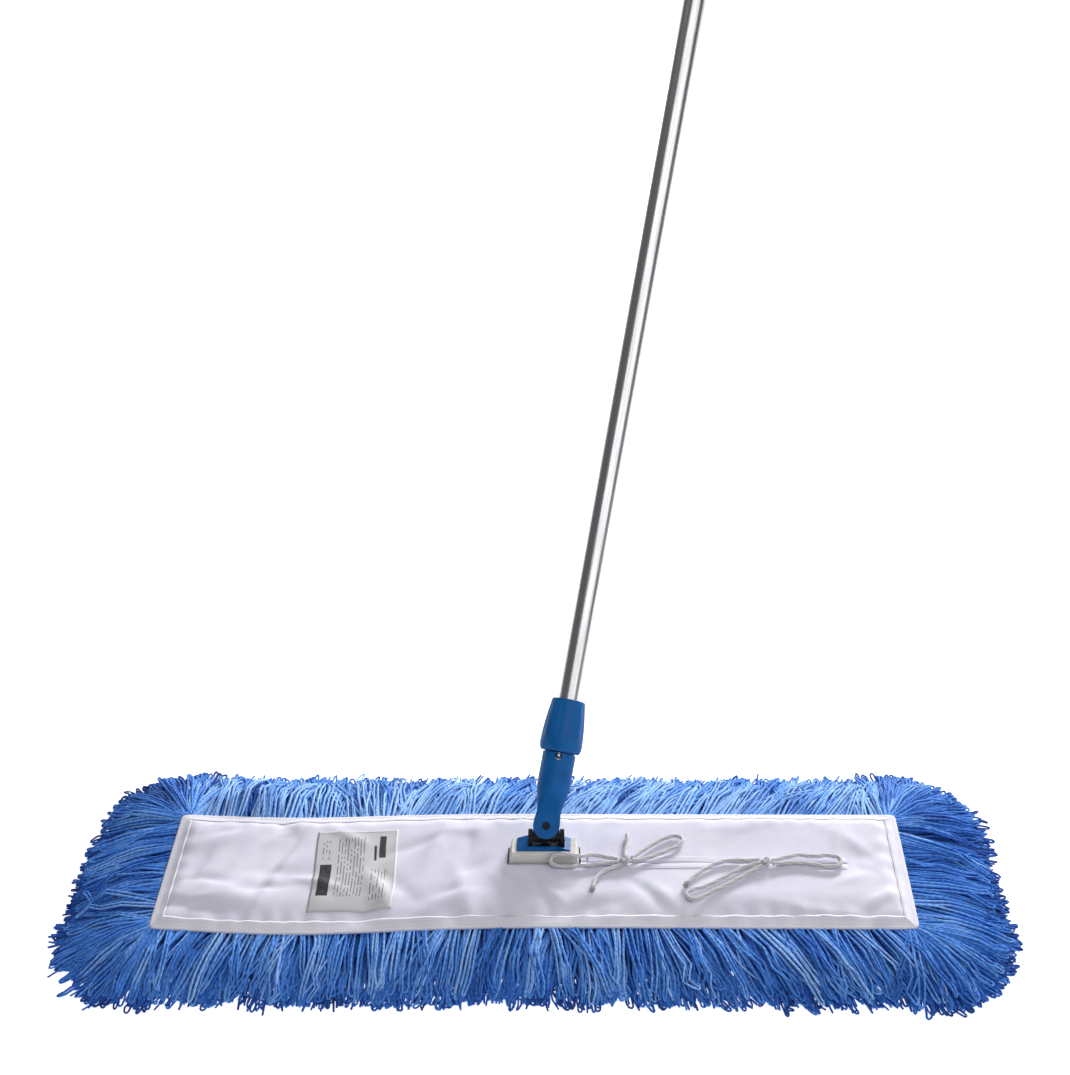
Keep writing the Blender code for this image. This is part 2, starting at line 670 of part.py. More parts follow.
def socket():
    """Fork cheeks at the bottom, a waist, then a round body with a bored, threaded neck."""
    radius, neck = SOCKET_DIAMETER / 2, THREAD_DIAMETER / 2
    waist_x = FORK_RADIUS - 0.0012
    rows = (
        (-FORK_RADIUS, FORK_RADIUS, CHEEK_OUTER, 0.0015),
        (0.004, FORK_RADIUS, CHEEK_OUTER, 0.0015),
        (0.014, waist_x, CHEEK_OUTER, 0.003),
        (0.022, waist_x + 0.001, CHEEK_OUTER + 0.002, 0.006),
        (0.032, radius - 0.002, radius - 0.003, 0.0125),
        (SOCKET_SHOULDER, radius, radius, radius - 0.0001),
        (COLLAR_START - 0.0015, radius, radius, radius - 0.0001),
        (COLLAR_START - 0.0009, neck, neck, neck - 0.0001),
        (THREAD_END, neck, neck, neck - 0.0001),
    )
    bm = bmesh.new()
    rings = [[bm.verts.new(co) for co in section(*row)] for row in rows]
    for a, b in zip(rings, rings[1:]):
        for i in range(len(a)):
            j = (i + 1) % len(a)
            bm.faces.new((a[i], a[j], b[j], b[i]))
    bm.faces.new(rings[0])
    bm.faces.new(rings[-1])
    body = mesh_object("handle_socket", bm)
    place(body, "blue_plastic", swing_frame)
    slot_high = CROTCH_DEPTH
    slot = box(
        "fork_slot",
        (0.06, 2 * CHEEK_INNER, slot_high + FORK_RADIUS + 0.01),
        (0, 0, (slot_high - FORK_RADIUS - 0.01) / 2),
    )
    cut(body, place(slot, None, swing_frame))
    wide, high = SOCKET_DIAMETER, THREAD_END + 0.01
    rounding = arc((0, 0), FORK_RADIUS, 180, 360, 20)
    rounding += [(wide, SOCKET_SHOULDER), (wide, high), (-wide, high), (-wide, SOCKET_SHOULDER)]
    cut(body, place(prism("fork_rounding", rounding, 0.06, "XZ"), None, swing_frame), "INTERSECT")
    bore_long = THREAD_END - SOCKET_FOOT + 0.01
    bore = cylinder("tube_bore", SOCKET_BORE / 2, bore_long, "Z", (0, 0, SOCKET_FOOT + bore_long / 2))
    cut(body, place(bore, None, swing_frame))
    hole = cylinder(
        "button_window",
        BUTTON_HOLE_DIAMETER / 2,
        radius,
        "Y",
        (0, -radius, BUTTON_STATION),
        sides=24,
    )
    cut(body, place(hole, None, swing_frame))
    shank = cylinder("cheek_holes", SHANK_HOLE + RUNNING / 2, 0.04, "Y", sides=20)
    cut(body, place(shank, None, swing_frame))
    for i, sign in enumerate((-1, 1)):
        recess = cylinder(
            f"cheek_recess_{i}",
            SCREW_HEAD_DIAMETER / 2 + GAP,
            0.01,
            "Y",
            (0, sign * (CHEEK_OUTER - 0.0025 + 0.005), 0),
            sides=24,
        )
        cut(body, place(recess, None, swing_frame))
    shade(body)


def collet():
    """A tapered ring that the collar squeezes on the tube; one slit lets it close."""
    inner = TUBE_DIAMETER / 2 + GAP
    low = THREAD_END + RUNNING
    outer = THREAD_DIAMETER / 2 - 0.0003
    profile = (
        (inner, low + COLLET_LENGTH),
        (inner + 0.0012, low + COLLET_LENGTH),
        (outer, low + 0.003),
        (outer, low),
        (inner, low),
    )
    ring = turned("collet_ring", profile, hollow=True)
    place(ring, "natural_plastic", swing_frame)
    slit = box("collet_slit", (0.0015, 0.02, 0.04), (0, 0.01 + inner / 2, low + COLLET_LENGTH / 2))
    cut(ring, place(slit, None, swing_frame))


def collar_radius(share):
    """Outside radius along the collar: small rim, full belly low down, narrow top."""
    belly = COLLAR_DIAMETER / 2
    if share < 0.05:
        return belly - 0.0024 + 0.0015 * share / 0.05
    if share < 0.17:
        return belly - 0.0009 + 0.0009 * math.sin((share - 0.05) / 0.12 * math.pi / 2)
    return belly - 0.0052 * ((share - 0.17) / 0.83) ** 1.7


def collar():
    low, high = COLLAR_START, COLLAR_START + COLLAR_LENGTH
    shares = (0.97, 0.88, 0.76, 0.64, 0.52, 0.40, 0.28, 0.17, 0.11, 0.05, 0.0)
    inside = THREAD_DIAMETER / 2 + RUNNING
    throat = TUBE_DIAMETER / 2 + 0.0006
    cone_low = THREAD_END + RUNNING + 0.003
    cone_high = THREAD_END + RUNNING + COLLET_LENGTH + 0.002
    profile = [(throat, high), (collar_radius(0.97) - 0.0016, high)]
    profile += [(collar_radius(share), low + COLLAR_LENGTH * share) for share in shares]
    profile += [(inside, low), (inside, cone_low), (throat + 0.0014, cone_high), (throat, cone_high)]
    body = turned("locking_collar", profile, 40, hollow=True)
    place(body, "blue_plastic", swing_frame)


def handle_tube():
    outer, inner = TUBE_DIAMETER / 2, TUBE_DIAMETER / 2 - TUBE_WALL
    low, high = SOCKET_FOOT + GAP, SOCKET_FOOT + GAP + TUBE_LENGTH
    profile = ((inner, high), (outer, high), (outer, low), (inner, low))
    tube = turned("handle_tube", profile, hollow=True)
    place(tube, "anodised_aluminium", swing_frame)
    hole = cylinder(
        "tube_button_hole",
        BUTTON_DIAMETER / 2 + GAP,
        TUBE_DIAMETER / 2,
        "Y",
        (0, -TUBE_DIAMETER / 2, BUTTON_STATION),
        sides=20,
    )
    cut(tube, place(hole, None, swing_frame))
    return high


def end_cap(tube_top):
    """A cap pushed over the tube's top, flattened and holed to hang the mop by."""
    sleeve = 0.022
    inner = TUBE_DIAMETER / 2 + GAP
    outer = inner + 0.0016
    low, high = tube_top - sleeve, tube_top - sleeve + CAP_LENGTH
    dome = [(radius, high - outer + rise) for radius, rise in reversed(arc((0, 0), outer, 0, 90, 6))]
    dome[0] = (0.0, high)
    seat = tube_top + GAP
    profile = dome + [(outer, low), (inner, low), (inner, seat), (0.0, seat)]
    cap = turned("end_cap", profile, 28)
    place(cap, "blue_plastic", swing_frame)
    eye = tube_top + 0.0035 + HANG_HOLE_DIAMETER / 2
    hole = cylinder("hang_hole", HANG_HOLE_DIAMETER / 2, 0.06, "X", (0, 0, eye), sides=24)
    cut(cap, place(hole, None, swing_frame))
    for i, sign in enumerate((-1, 1)):
        tall = 2 * (high - seat)
        side = box(f"cap_flat_{i}", (0.02, 0.06, tall), (sign * (0.0075 + 0.01), 0, seat + 0.0015 + tall / 2))
        cut(cap, place(side, None, swing_frame))


def snap_button():
    """A steel pin with a domed end; a foot inside the tube keeps it in."""
    tip = TUBE_DIAMETER / 2 + BUTTON_PROUD
    wall = TUBE_DIAMETER / 2 - TUBE_WALL
    foot_top = wall - 0.0008
    radius = BUTTON_DIAMETER / 2
    profile = [
        (0.0, tip),
        (radius * 0.55, tip - 0.0003),
        (radius * 0.9, tip - 0.0010),
        (radius, tip - 0.0020),
        (radius, foot_top),
        (radius + 0.0009, foot_top),
        (radius + 0.0009, foot_top - 0.0012),
        (0.0, foot_top - 0.0012),
    ]
    turn = (math.pi / 2, 0, 0)
    place(turned("snap_button", profile, 20), "bright_steel", swing_frame, (0, 0, BUTTON_STATION), turn)
    return foot_top - 0.0012


def button_spring(foot):
    """A hairpin leaf inside the tube: one leg behind the button, one on the far wall."""
    wall = TUBE_DIAMETER / 2 - TUBE_WALL - 0.0008
    thick = 0.0005
    front, back = foot - GAP - thick / 2, wall - 0.001
    high = BUTTON_STATION + 0.006
    radius = (front + back) / 2
    bend = SOCKET_FOOT + GAP + thick + radius
    middle = (back - front) / 2
    path = [(-front, high), (-front, bend)]
    path += arc((middle, bend), radius, 180, 360, 8)[1:]
    path.append((back, high - 0.004))
    outer, inner = [], []
    for i, (y, z) in enumerate(path):
        before, after = path[max(i - 1, 0)], path[min(i + 1, len(path) - 1)]
        along = Vector((after[0] - before[0], after[1] - before[1])).normalized()
        side = Vector((-along.y, along.x)) * thick / 2
        outer.append((y + side.x, z + side.y))
        inner.append((y - side.x, z - side.y))
    leaf = prism("button_spring", outer + inner[::-1], 0.006, "YZ")
    place(leaf, "bright_steel", swing_frame)


# ---- the tie cords on the slit --------------------------------------------------
HEM_LIE = Z_CANVAS_TOP + GAP + TAPE_THICK + GAP + CORD_DIAMETER / 2
KNOT_SIZE = (0.0062, 0.0050, 0.0042)
KNOTS = {"bow_knot_near": (0.0985, -0.0030), "bow_knot_far": (0.2490, -0.0045)}
# (x, y, height of the cord's middle over where it lies on the hems)
TIES = {
    "near_loop_left": (
        (0.0915, -0.0015, 0.0020),
        (0.0770, 0.0040, 0.0008),
        (0.0640, 0.0050, 0.0028),
        (0.0555, 0.0000, 0.0062),
        (0.0480, -0.0048, 0.0095),
        (0.0385, -0.0050, 0.0118),
        (0.0290, -0.0048, 0.0125),
        (0.0205, -0.0050, 0.0095),
        (0.0180, -0.0075, 0.0045),
        (0.0230, -0.0105, 0.0010),
        (0.0350, -0.0108, 0.0000),
        (0.0500, -0.0100, 0.0000),
        (0.0680, -0.0078, 0.0004),
        (0.0830, -0.0062, 0.0012),
        (0.0918, -0.0052, 0.0020),
    ),
    "near_loop_right": (
        (0.1052, 0.0005, 0.0022),
        (0.1160, 0.0130, 0.0008),
        (0.1300, 0.0270, 0.0000),
        (0.1450, 0.0375, 0.0000),
        (0.1560, 0.0400, 0.0000),
        (0.1610, 0.0340, 0.0000),
        (0.1570, 0.0250, 0.0000),
        (0.1450, 0.0160, 0.0000),
        (0.1300, 0.0070, 0.0004),
        (0.1160, -0.0005, 0.0012),
        (0.1056, -0.0042, 0.0022),
    ),
    "near_tail_front": (
        (0.0945, -0.0086, 0.0016),
        (0.0860, -0.0130, 0.0004),
        (0.0760, -0.0180, 0.0000),
        (0.0690, -0.0260, 0.0000),
        (0.0650, -0.0350, 0.0000),
        (0.0635, -0.0430, 0.0000),
    ),
    "near_tail_back": (
        (0.0990, 0.0032, 0.0020),
        (0.0985, 0.0110, 0.0006),
        (0.1000, 0.0210, 0.0000),
        (0.1015, 0.0310, 0.0000),
        (0.1010, 0.0420, 0.0000),
    ),
    "far_loop_right": (
        (0.2558, -0.0030, 0.0020),
        (0.2700, 0.0040, 0.0006),
        (0.2850, 0.0090, 0.0000),
        (0.3000, 0.0072, 0.0000),
        (0.3150, 0.0085, 0.0000),
        (0.3265, 0.0060, 0.0000),
        (0.3300, -0.0015, 0.0000),
        (0.3250, -0.0080, 0.0000),
        (0.3130, -0.0090, 0.0000),
        (0.2980, -0.0055, 0.0000),
        (0.2830, -0.0035, 0.0002),
        (0.2680, -0.0050, 0.0008),
        (0.2560, -0.0076, 0.0020),
    ),
    "far_loop_left": (
        (0.2430, -0.0065, 0.0020),
        (0.2280, -0.0100, 0.0006),
        (0.2120, -0.0200, 0.0000),
        (0.1950, -0.0330, 0.0000),
        (0.1790, -0.0430, 0.0000),
        (0.1680, -0.0470, 0.0000),
        (0.1620, -0.0530, 0.0000),
        (0.1650, -0.0600, 0.0000),
        (0.1740, -0.0600, 0.0000),
        (0.1870, -0.0510, 0.0000),
        (0.2050, -0.0390, 0.0000),
        (0.2220, -0.0260, 0.0004),
        (0.2350, -0.0165, 0.0012),
        (0.2445, -0.0105, 0.0020),
    ),
    "far_tail_left": (
        (0.2425, -0.0018, 0.0020),
        (0.2280, -0.0008, 0.0006),
        (0.2130, 0.0000, 0.0000),
        (0.1990, -0.0040, 0.0000),
        (0.1850, -0.0130, 0.0000),
        (0.1730, -0.0240, 0.0000),
        (0.1640, -0.0360, 0.0000),
    ),
}
TIP_KNOTS = {"near_tail_front": "near_tip_knot", "far_tail_left": "far_tip_knot"}


def ball(name, size, centre):
    bm = bmesh.new()
    shape = Matrix.Translation(centre) @ Matrix.Diagonal((*size, 1))
    bmesh.ops.create_uvsphere(bm, u_segments=14, v_segments=9, radius=1.0, matrix=shape)
    return shade(mesh_object(name, bm), 60)


def ties():
    for name, (x, y) in KNOTS.items():
        place(ball(name, KNOT_SIZE, (x, y, HEM_LIE - CORD_DIAMETER / 2 + KNOT_SIZE[2])), "cotton_cord")
    for name, route in TIES.items():
        points = smooth_route([(x, y, HEM_LIE + rise) for x, y, rise in route], 2.4 * CORD_DIAMETER)
        place(tube_along(name, points, CORD_DIAMETER / 2), "cotton_cord")
        if name in TIP_KNOTS:
            out = (points[-1] - points[-2]).normalized()
            size = Vector((0.0030, 0.0030, 0.0026))
            centre = points[-1] + out * (size.x + GAP)
            place(ball(TIP_KNOTS[name], size, centre), "cotton_cord")


half_x, half_y = yarn_pad()
fringes(half_x, half_y)
canvas()
wire_frame()
bridge()
riser()
joint_base()
yoke()
rivets()
knuckle()
pins()
socket()
collet()
collar()
tube_top = handle_tube()
end_cap(tube_top)
button_spring(snap_button())
ties()
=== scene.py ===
# %% [markdown]
# A flat dust mop, rebuilt as a picture and a model on top of its CAD frame.
# The CAD says where every piece is and how it moves; this script gives the pieces
# their real shape and finish: looped yarn, sewn canvas, twisted cords, moulded
# plastic, and an anodised handle. Everything is in metres, in the CAD's own frame.

# %% Load the frame
import math

import bmesh
import bpy
import numpy as np
from mathutils import Matrix, Vector


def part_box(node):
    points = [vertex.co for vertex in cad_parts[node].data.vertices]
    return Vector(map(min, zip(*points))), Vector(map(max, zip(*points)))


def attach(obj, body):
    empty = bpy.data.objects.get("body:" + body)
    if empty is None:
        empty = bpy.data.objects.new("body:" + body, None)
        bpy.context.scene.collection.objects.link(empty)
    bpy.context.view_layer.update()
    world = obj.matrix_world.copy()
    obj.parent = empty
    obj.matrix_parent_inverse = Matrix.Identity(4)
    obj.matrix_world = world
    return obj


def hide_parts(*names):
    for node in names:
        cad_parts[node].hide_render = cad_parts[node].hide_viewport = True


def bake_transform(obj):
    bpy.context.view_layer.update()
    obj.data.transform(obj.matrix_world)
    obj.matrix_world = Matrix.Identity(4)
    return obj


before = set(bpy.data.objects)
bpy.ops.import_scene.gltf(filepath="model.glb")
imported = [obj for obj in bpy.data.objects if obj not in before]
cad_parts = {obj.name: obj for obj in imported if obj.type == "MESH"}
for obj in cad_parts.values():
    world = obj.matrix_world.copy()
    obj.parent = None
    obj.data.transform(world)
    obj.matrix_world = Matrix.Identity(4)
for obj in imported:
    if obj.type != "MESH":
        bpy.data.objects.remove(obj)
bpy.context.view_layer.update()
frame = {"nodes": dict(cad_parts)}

nodes, mm = frame["nodes"], 0.001

# %% [markdown]
# The camera stands about 1.5 m in front of the mop and looks 31 degrees down.
# Its 60 mm lens was chosen, not measured, and for that lens the four corners of the
# canvas fix its place. The matrix is written as three directions, which is exact,
# where a string of Euler angles would hide the slight roll.

# %% Camera
SENSOR_HEIGHT = 36.0
LENS = 1800 * SENSOR_HEIGHT / 1075
CAMERA_PLACE = (0.0676, -1.4930, 1.3261)
CAMERA_REACH = 400
yaw, pitch, roll = -0.03933, 0.53450, 0.02234
ahead = Vector((math.sin(yaw) * math.cos(pitch), math.cos(yaw) * math.cos(pitch), -math.sin(pitch)))
level = Vector((math.cos(yaw), -math.sin(yaw), 0.0))
below = ahead.cross(level)
across = level * math.cos(roll) + below * math.sin(roll)
down = below * math.cos(roll) - level * math.sin(roll)
pose = Matrix((across, -down, -ahead)).transposed().to_4x4()
pose.translation = CAMERA_PLACE
camera = bpy.data.objects.new("camera", bpy.data.cameras.new("camera"))
camera.matrix_world = pose
camera.data.sensor_fit = "VERTICAL"
camera.data.sensor_height = SENSOR_HEIGHT
camera.data.lens = LENS
camera.data.clip_end = CAMERA_REACH
bpy.context.scene.collection.objects.link(camera)
bpy.context.scene.camera = camera
print("camera at", tuple(round(v, 3) for v in camera.location))


# %% [markdown]
# Three small helpers serve the whole lesson. Colours are written as a painter or
# a web page would, in sRGB hex, and turned to linear light once, here. A node is
# added with its settings and its links in one call. A finish is a material whose
# one shader is Principled, so that it exports as it looks.

# %% Colour, node and finish helpers
def linear(colour):
    """A #rrggbb colour as linear red, green, blue and alpha."""
    shares = [int(colour[i:i + 2], 16) / 255 for i in (1, 3, 5)]
    return (*[s / 12.92 if s <= 0.04045 else ((s + 0.055) / 1.055) ** 2.4 for s in shares], 1.0)


def add(tree, kind, inputs=None, **settings):
    """A node of that kind: its settings, then its inputs' values or the sockets they come from."""
    node = tree.nodes.new(kind)
    for name, value in settings.items():
        setattr(node, name, value)
    for name, value in (inputs or {}).items():
        if isinstance(value, bpy.types.NodeSocket):
            tree.links.new(value, node.inputs[name])
        else:
            node.inputs[name].default_value = value
    return node


def finish(name, colour, roughness, metallic=0.0, **more):
    """A Principled material; returns it with its tree and its shader."""
    material = bpy.data.materials.new(name)
    material.use_nodes = True
    shader = material.node_tree.nodes["Principled BSDF"]
    settings = {"Base Color": linear(colour), "Roughness": roughness, "Metallic": metallic, **more}
    for socket, value in settings.items():
        shader.inputs[socket].default_value = value
    return material, material.node_tree, shader


def ramp(tree, factor, stops):
    """A colour ramp through (place, hex colour) stops."""
    node = add(tree, "ShaderNodeValToRGB", {"Fac": factor})
    band = node.color_ramp
    while len(band.elements) < len(stops):
        band.elements.new(0.5)
    for element, (place, colour) in zip(band.elements, stops):
        element.position, element.color = place, linear(colour)
    return node.outputs["Color"]


def roughen(tree, shader, height, distance, strength=1.0):
    """A bump of that height in metres, on the shader's normal."""
    bump = add(tree, "ShaderNodeBump", {"Height": height, "Distance": distance, "Strength": strength})
    tree.links.new(bump.outputs["Normal"], shader.inputs["Normal"])


print("helpers ready")

# %% [markdown]
# The studio is a plain pale floor with a wide bank of soft light overhead, in front
# and a little to the right. It draws the single bright band down the metal handle: a
# tube mirrors a whole ring of the room, and only where the bank hangs is it white.
# The bank's long side is square to the handle, so that the band runs straight.
# A small lamp low at the back rakes over the canvas, which is what makes folds
# visible, and a weaker one overhead keeps their shadows soft.

# %% Floor and lights
FLOOR_HALF = 150
PAPER_GLOW = 0.80
WALL_GREY = (0.13, 0.13, 0.135, 1)
bpy.context.scene.view_settings.view_transform = "Standard"
floor_mesh = bpy.data.meshes.new("floor")
floor_mesh.from_pydata([(FLOOR_HALF * a, FLOOR_HALF * b, 0) for a, b in ((-1, -1), (1, -1), (1, 1), (-1, 1))],
                       [], [(0, 1, 2, 3)])
floor = bpy.data.objects.new("floor", floor_mesh)
bpy.context.scene.collection.objects.link(floor)
paper, _, paper_shader = finish("seamless_white_paper", "#f4f4f4", 0.9)
paper_shader.inputs["Emission Color"].default_value = (1, 1, 1, 1)
paper_shader.inputs["Emission Strength"].default_value = PAPER_GLOW
paper_shader.inputs["Specular IOR Level"].default_value = 0.0
floor_mesh.materials.append(paper)


def softbox(name, place, target, width, height, power, long_side=(1, 0, 0)):
    """An area lamp at place that faces the target, its width lying along long_side."""
    data = bpy.data.lights.new(name, "AREA")
    data.shape, data.size, data.size_y, data.energy = "RECTANGLE", width, height, power
    lamp = bpy.data.objects.new(name, data)
    back = (Vector(place) - Vector(target)).normalized()
    wide = (Vector(long_side) - back * back.dot(Vector(long_side))).normalized()
    lamp.rotation_euler = Matrix((wide, back.cross(wide), back)).transposed().to_euler()
    lamp.location = place
    bpy.context.scene.collection.objects.link(lamp)


softbox("overhead_bank", (1.34, -1.33, 2.92), (0.12, 0.40, 0.52), 4.6, 3.1, 70, (0.981, -0.092, -0.153))
softbox("raking_light", (1.2, 2.7, 1.00), (0.0, 0.0, 0.03), 1.1, 0.5, 128)
softbox("top_light", (-1.2, 1.8, 3.0), (0, 0.0, 0.0), 1.2, 1.2, 16)
world = bpy.data.worlds.new("studio_walls")
world.use_nodes = True
world.node_tree.nodes["Background"].inputs["Color"].default_value = WALL_GREY
world.node_tree.nodes["Background"].inputs["Strength"].default_value = 1.0
bpy.context.scene.world = world
print("floor, three soft lamps and grey walls")


# %% [markdown]
# A finished piece keeps its place in its mesh, as the CAD nodes do, so the object
# itself always sits at the origin. These helpers make such an object from points,
# bake a modifier into a plain mesh, and hang a piece on its CAD body.

# %% Piece helpers
def piece(name, points, faces, material, edges=(), smooth=True):
    mesh = bpy.data.meshes.new(name)
    mesh.from_pydata([tuple(p) for p in points], list(edges), [tuple(f) for f in faces])
    if smooth:
        mesh.shade_smooth()
    mesh.materials.append(material)
    made = bpy.data.objects.new(name, mesh)
    bpy.context.scene.collection.objects.link(made)
    return made


def plain(made):
    """Replaces the piece's modifiers by the plain mesh that they give."""
    graph = bpy.context.evaluated_depsgraph_get()
    mesh = bpy.data.meshes.new_from_object(made.evaluated_get(graph))
    made.modifiers.clear()
    made.data = mesh
    return made


def outward(made, join=0.0):
    """Welds the doubles and turns every face outwards."""
    bm = bmesh.new()
    bm.from_mesh(made.data)
    if join:
        bmesh.ops.remove_doubles(bm, verts=bm.verts, dist=join)
    bmesh.ops.recalc_face_normals(bm, faces=bm.faces)
    bm.to_mesh(made.data)
    bm.free()
    return made


def seat(made, body, slot, *stands_for):
    """The piece rides on its body and hides the solids that it stands for; slot is not used."""
    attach(made, body)
    if stands_for:
        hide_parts(*stands_for)
    print(f"{made.name}: {len(made.data.polygons)} faces on {body}")
    return made


def grid_faces(rows, columns, wrap=False, first=0):
    """Quads between neighbouring rows of points; wrap joins each row's ends."""
    found = []
    for i in range(rows - 1):
        for j in range(columns if wrap else columns - 1):
            k = (j + 1) % columns
            a, b = first + i * columns, first + (i + 1) * columns
            found.append((a + j, a + k, b + k, b + j))
    return found


# %% [markdown]
# Cotton-blend mop yarn is spun from short fibres and plied, so it is matt and a
# little fuzzy. Its twist is painted light and shade: a light and a dark stripe wind
# round each strand where the plies would catch the light and shade their grooves.
# Each strand carries its own attributes: how far along it a point is, where round
# it, how light it is, and how deep it lies in the fringe. Its lightness is a random
# dye lot plus painted light: upper layers and the back fringe lighter, the ends and
# corners darker. How deep it lies is painted shade: the lower layers, and the roots
# of their strands, are darker. The colour reads those, so it follows every bend.

# %% Yarn finish
def spun_yarn():
    material, tree, shader = finish("spun_mop_yarn_dyed_blue", "#3269be", 0.92)
    along = add(tree, "ShaderNodeAttribute", attribute_name="along").outputs["Fac"]
    around = add(tree, "ShaderNodeAttribute", attribute_name="around").outputs["Vector"]
    dye_and_painted_light = add(tree, "ShaderNodeAttribute", attribute_name="dye_and_painted_light").outputs["Fac"]
    depth_shade = add(tree, "ShaderNodeAttribute", attribute_name="depth_shade").outputs["Fac"]
    # one turn of the plies every 7 mm; the real 4 mm would be too fine to show
    turn = add(tree, "ShaderNodeMath", {0: along, 1: 2 * math.pi / (7 * mm)}, operation="MULTIPLY").outputs[0]
    sides = add(tree, "ShaderNodeSeparateXYZ", {0: around})
    sine = add(tree, "ShaderNodeMath", {0: turn}, operation="SINE").outputs[0]
    cosine = add(tree, "ShaderNodeMath", {0: turn}, operation="COSINE").outputs[0]
    one = add(tree, "ShaderNodeMath", {0: sine, 1: sides.outputs["X"]}, operation="MULTIPLY").outputs[0]
    # painted light and shade: a light and a dark stripe of the plies winding round each strand
    twist = add(tree, "ShaderNodeMath", {0: cosine, 1: sides.outputs["Y"], 2: one},
                operation="MULTIPLY_ADD").outputs[0]
    place = add(tree, "ShaderNodeTexCoord").outputs["Object"]
    fuzz = add(tree, "ShaderNodeTexNoise", {"Vector": place, "Scale": 420.0, "Detail": 2.0}).outputs["Fac"]
    patch = add(tree, "ShaderNodeTexNoise", {"Vector": place, "Scale": 16.0, "Detail": 2.0}).outputs["Fac"]
    # the strand's lightness: a random dye lot plus painted light (upper layers and back fringe lighter, ends
    # darker)
    mixed = add(tree, "ShaderNodeMath", {0: twist, 1: 0.05, 2: dye_and_painted_light}, operation="MULTIPLY_ADD").outputs[0]
    mixed = add(tree, "ShaderNodeMath", {0: fuzz, 1: 0.25, 2: mixed}, operation="MULTIPLY_ADD").outputs[0]
    mixed = add(tree, "ShaderNodeMath", {0: patch, 1: 0.60, 2: mixed}, operation="MULTIPLY_ADD").outputs[0]
    # painted shade: the lower layers of the fringe, and the roots of their strands, are darker
    mixed = add(tree, "ShaderNodeMath", {0: depth_shade, 1: -0.42, 2: mixed}, operation="MULTIPLY_ADD").outputs[0]
    mixed = add(tree, "ShaderNodeMath", {0: mixed, 1: 0.15}, operation="ADD").outputs[0]
    shade = ramp(tree, mixed, ((0.02, "#113684"), (0.32, "#2763c0"), (0.62, "#4f8ee2"), (0.95, "#a2ccfc")))
    tree.links.new(shade, shader.inputs["Base Color"])
    shader.inputs["Sheen Weight"].default_value = 0.5
    shader.inputs["Sheen Roughness"].default_value = 0.45
    shader.inputs["Sheen Tint"].default_value = linear("#a8c8f4")
    shader.inputs["Specular IOR Level"].default_value = 0.2
    ridge = add(tree, "ShaderNodeMath", {0: fuzz, 1: 0.5, 2: twist}, operation="MULTIPLY_ADD").outputs[0]
    roughen(tree, shader, ridge, 0.2 * mm, 0.6)
    return material


YARN = spun_yarn()
print("finish:", YARN.name)


# %% [markdown]
# A strand is a line first and a solid last. The lines are worked out with numpy,
# because their flow has to look combed and clumped, and Geometry Nodes then turns
# every line into a five-sided strand. Five sides are enough at this size, and the
# smooth shading and the twist, painted into the colour as light and shade, do the rest.

# %% Strand tree
def strand_tree():
    tree = bpy.data.node_groups.new("strands_from_lines", "GeometryNodeTree")
    face = tree.interface
    face.new_socket("Geometry", in_out="INPUT", socket_type="NodeSocketGeometry")
    sides = face.new_socket("Sides", in_out="INPUT", socket_type="NodeSocketInt")
    finish_socket = face.new_socket("Material", in_out="INPUT", socket_type="NodeSocketMaterial")
    face.new_socket("Geometry", in_out="OUTPUT", socket_type="NodeSocketGeometry")
    entry = add(tree, "NodeGroupInput")
    lines = add(tree, "GeometryNodeMeshToCurve", {"Mesh": entry.outputs["Geometry"]}).outputs["Curve"]
    thick = add(tree, "GeometryNodeInputNamedAttribute", {"Name": "thick"}, data_type="FLOAT")
    thick = thick.outputs["Attribute"]
    lines = add(tree, "GeometryNodeSetCurveRadius", {"Curve": lines, "Radius": thick}).outputs["Curve"]
    far = add(tree, "GeometryNodeSplineParameter").outputs["Length"]
    store = {"Geometry": lines, "Name": "along", "Value": far}
    lines = add(tree, "GeometryNodeStoreNamedAttribute", store, data_type="FLOAT", domain="POINT")
    ring = add(tree, "GeometryNodeCurvePrimitiveCircle",
               {"Resolution": entry.outputs["Sides"], "Radius": 1.0})
    spot = add(tree, "GeometryNodeInputPosition").outputs["Position"]
    store = {"Geometry": ring.outputs["Curve"], "Name": "around", "Value": spot}
    ring = add(tree, "GeometryNodeStoreNamedAttribute", store, data_type="FLOAT_VECTOR", domain="POINT")
    inputs = {"Curve": lines.outputs[0], "Profile Curve": ring.outputs[0], "Fill Caps": True}
    skin = add(tree, "GeometryNodeCurveToMesh", inputs)
    if "Scale" in skin.inputs:
        tree.links.new(thick, skin.inputs["Scale"])
    soft = add(tree, "GeometryNodeSetShadeSmooth", {"Geometry": skin.outputs["Mesh"]}).outputs[0]
    real = add(tree, "GeometryNodeRealizeInstances", {"Geometry": soft}).outputs[0]
    dressed = add(tree, "GeometryNodeSetMaterial", {"Geometry": real, "Material": entry.outputs["Material"]})
    add(tree, "NodeGroupOutput", {"Geometry": dressed.outputs[0]})
    return tree, sides.identifier, finish_socket.identifier


STRANDS, SIDES_INPUT, FINISH_INPUT = strand_tree()


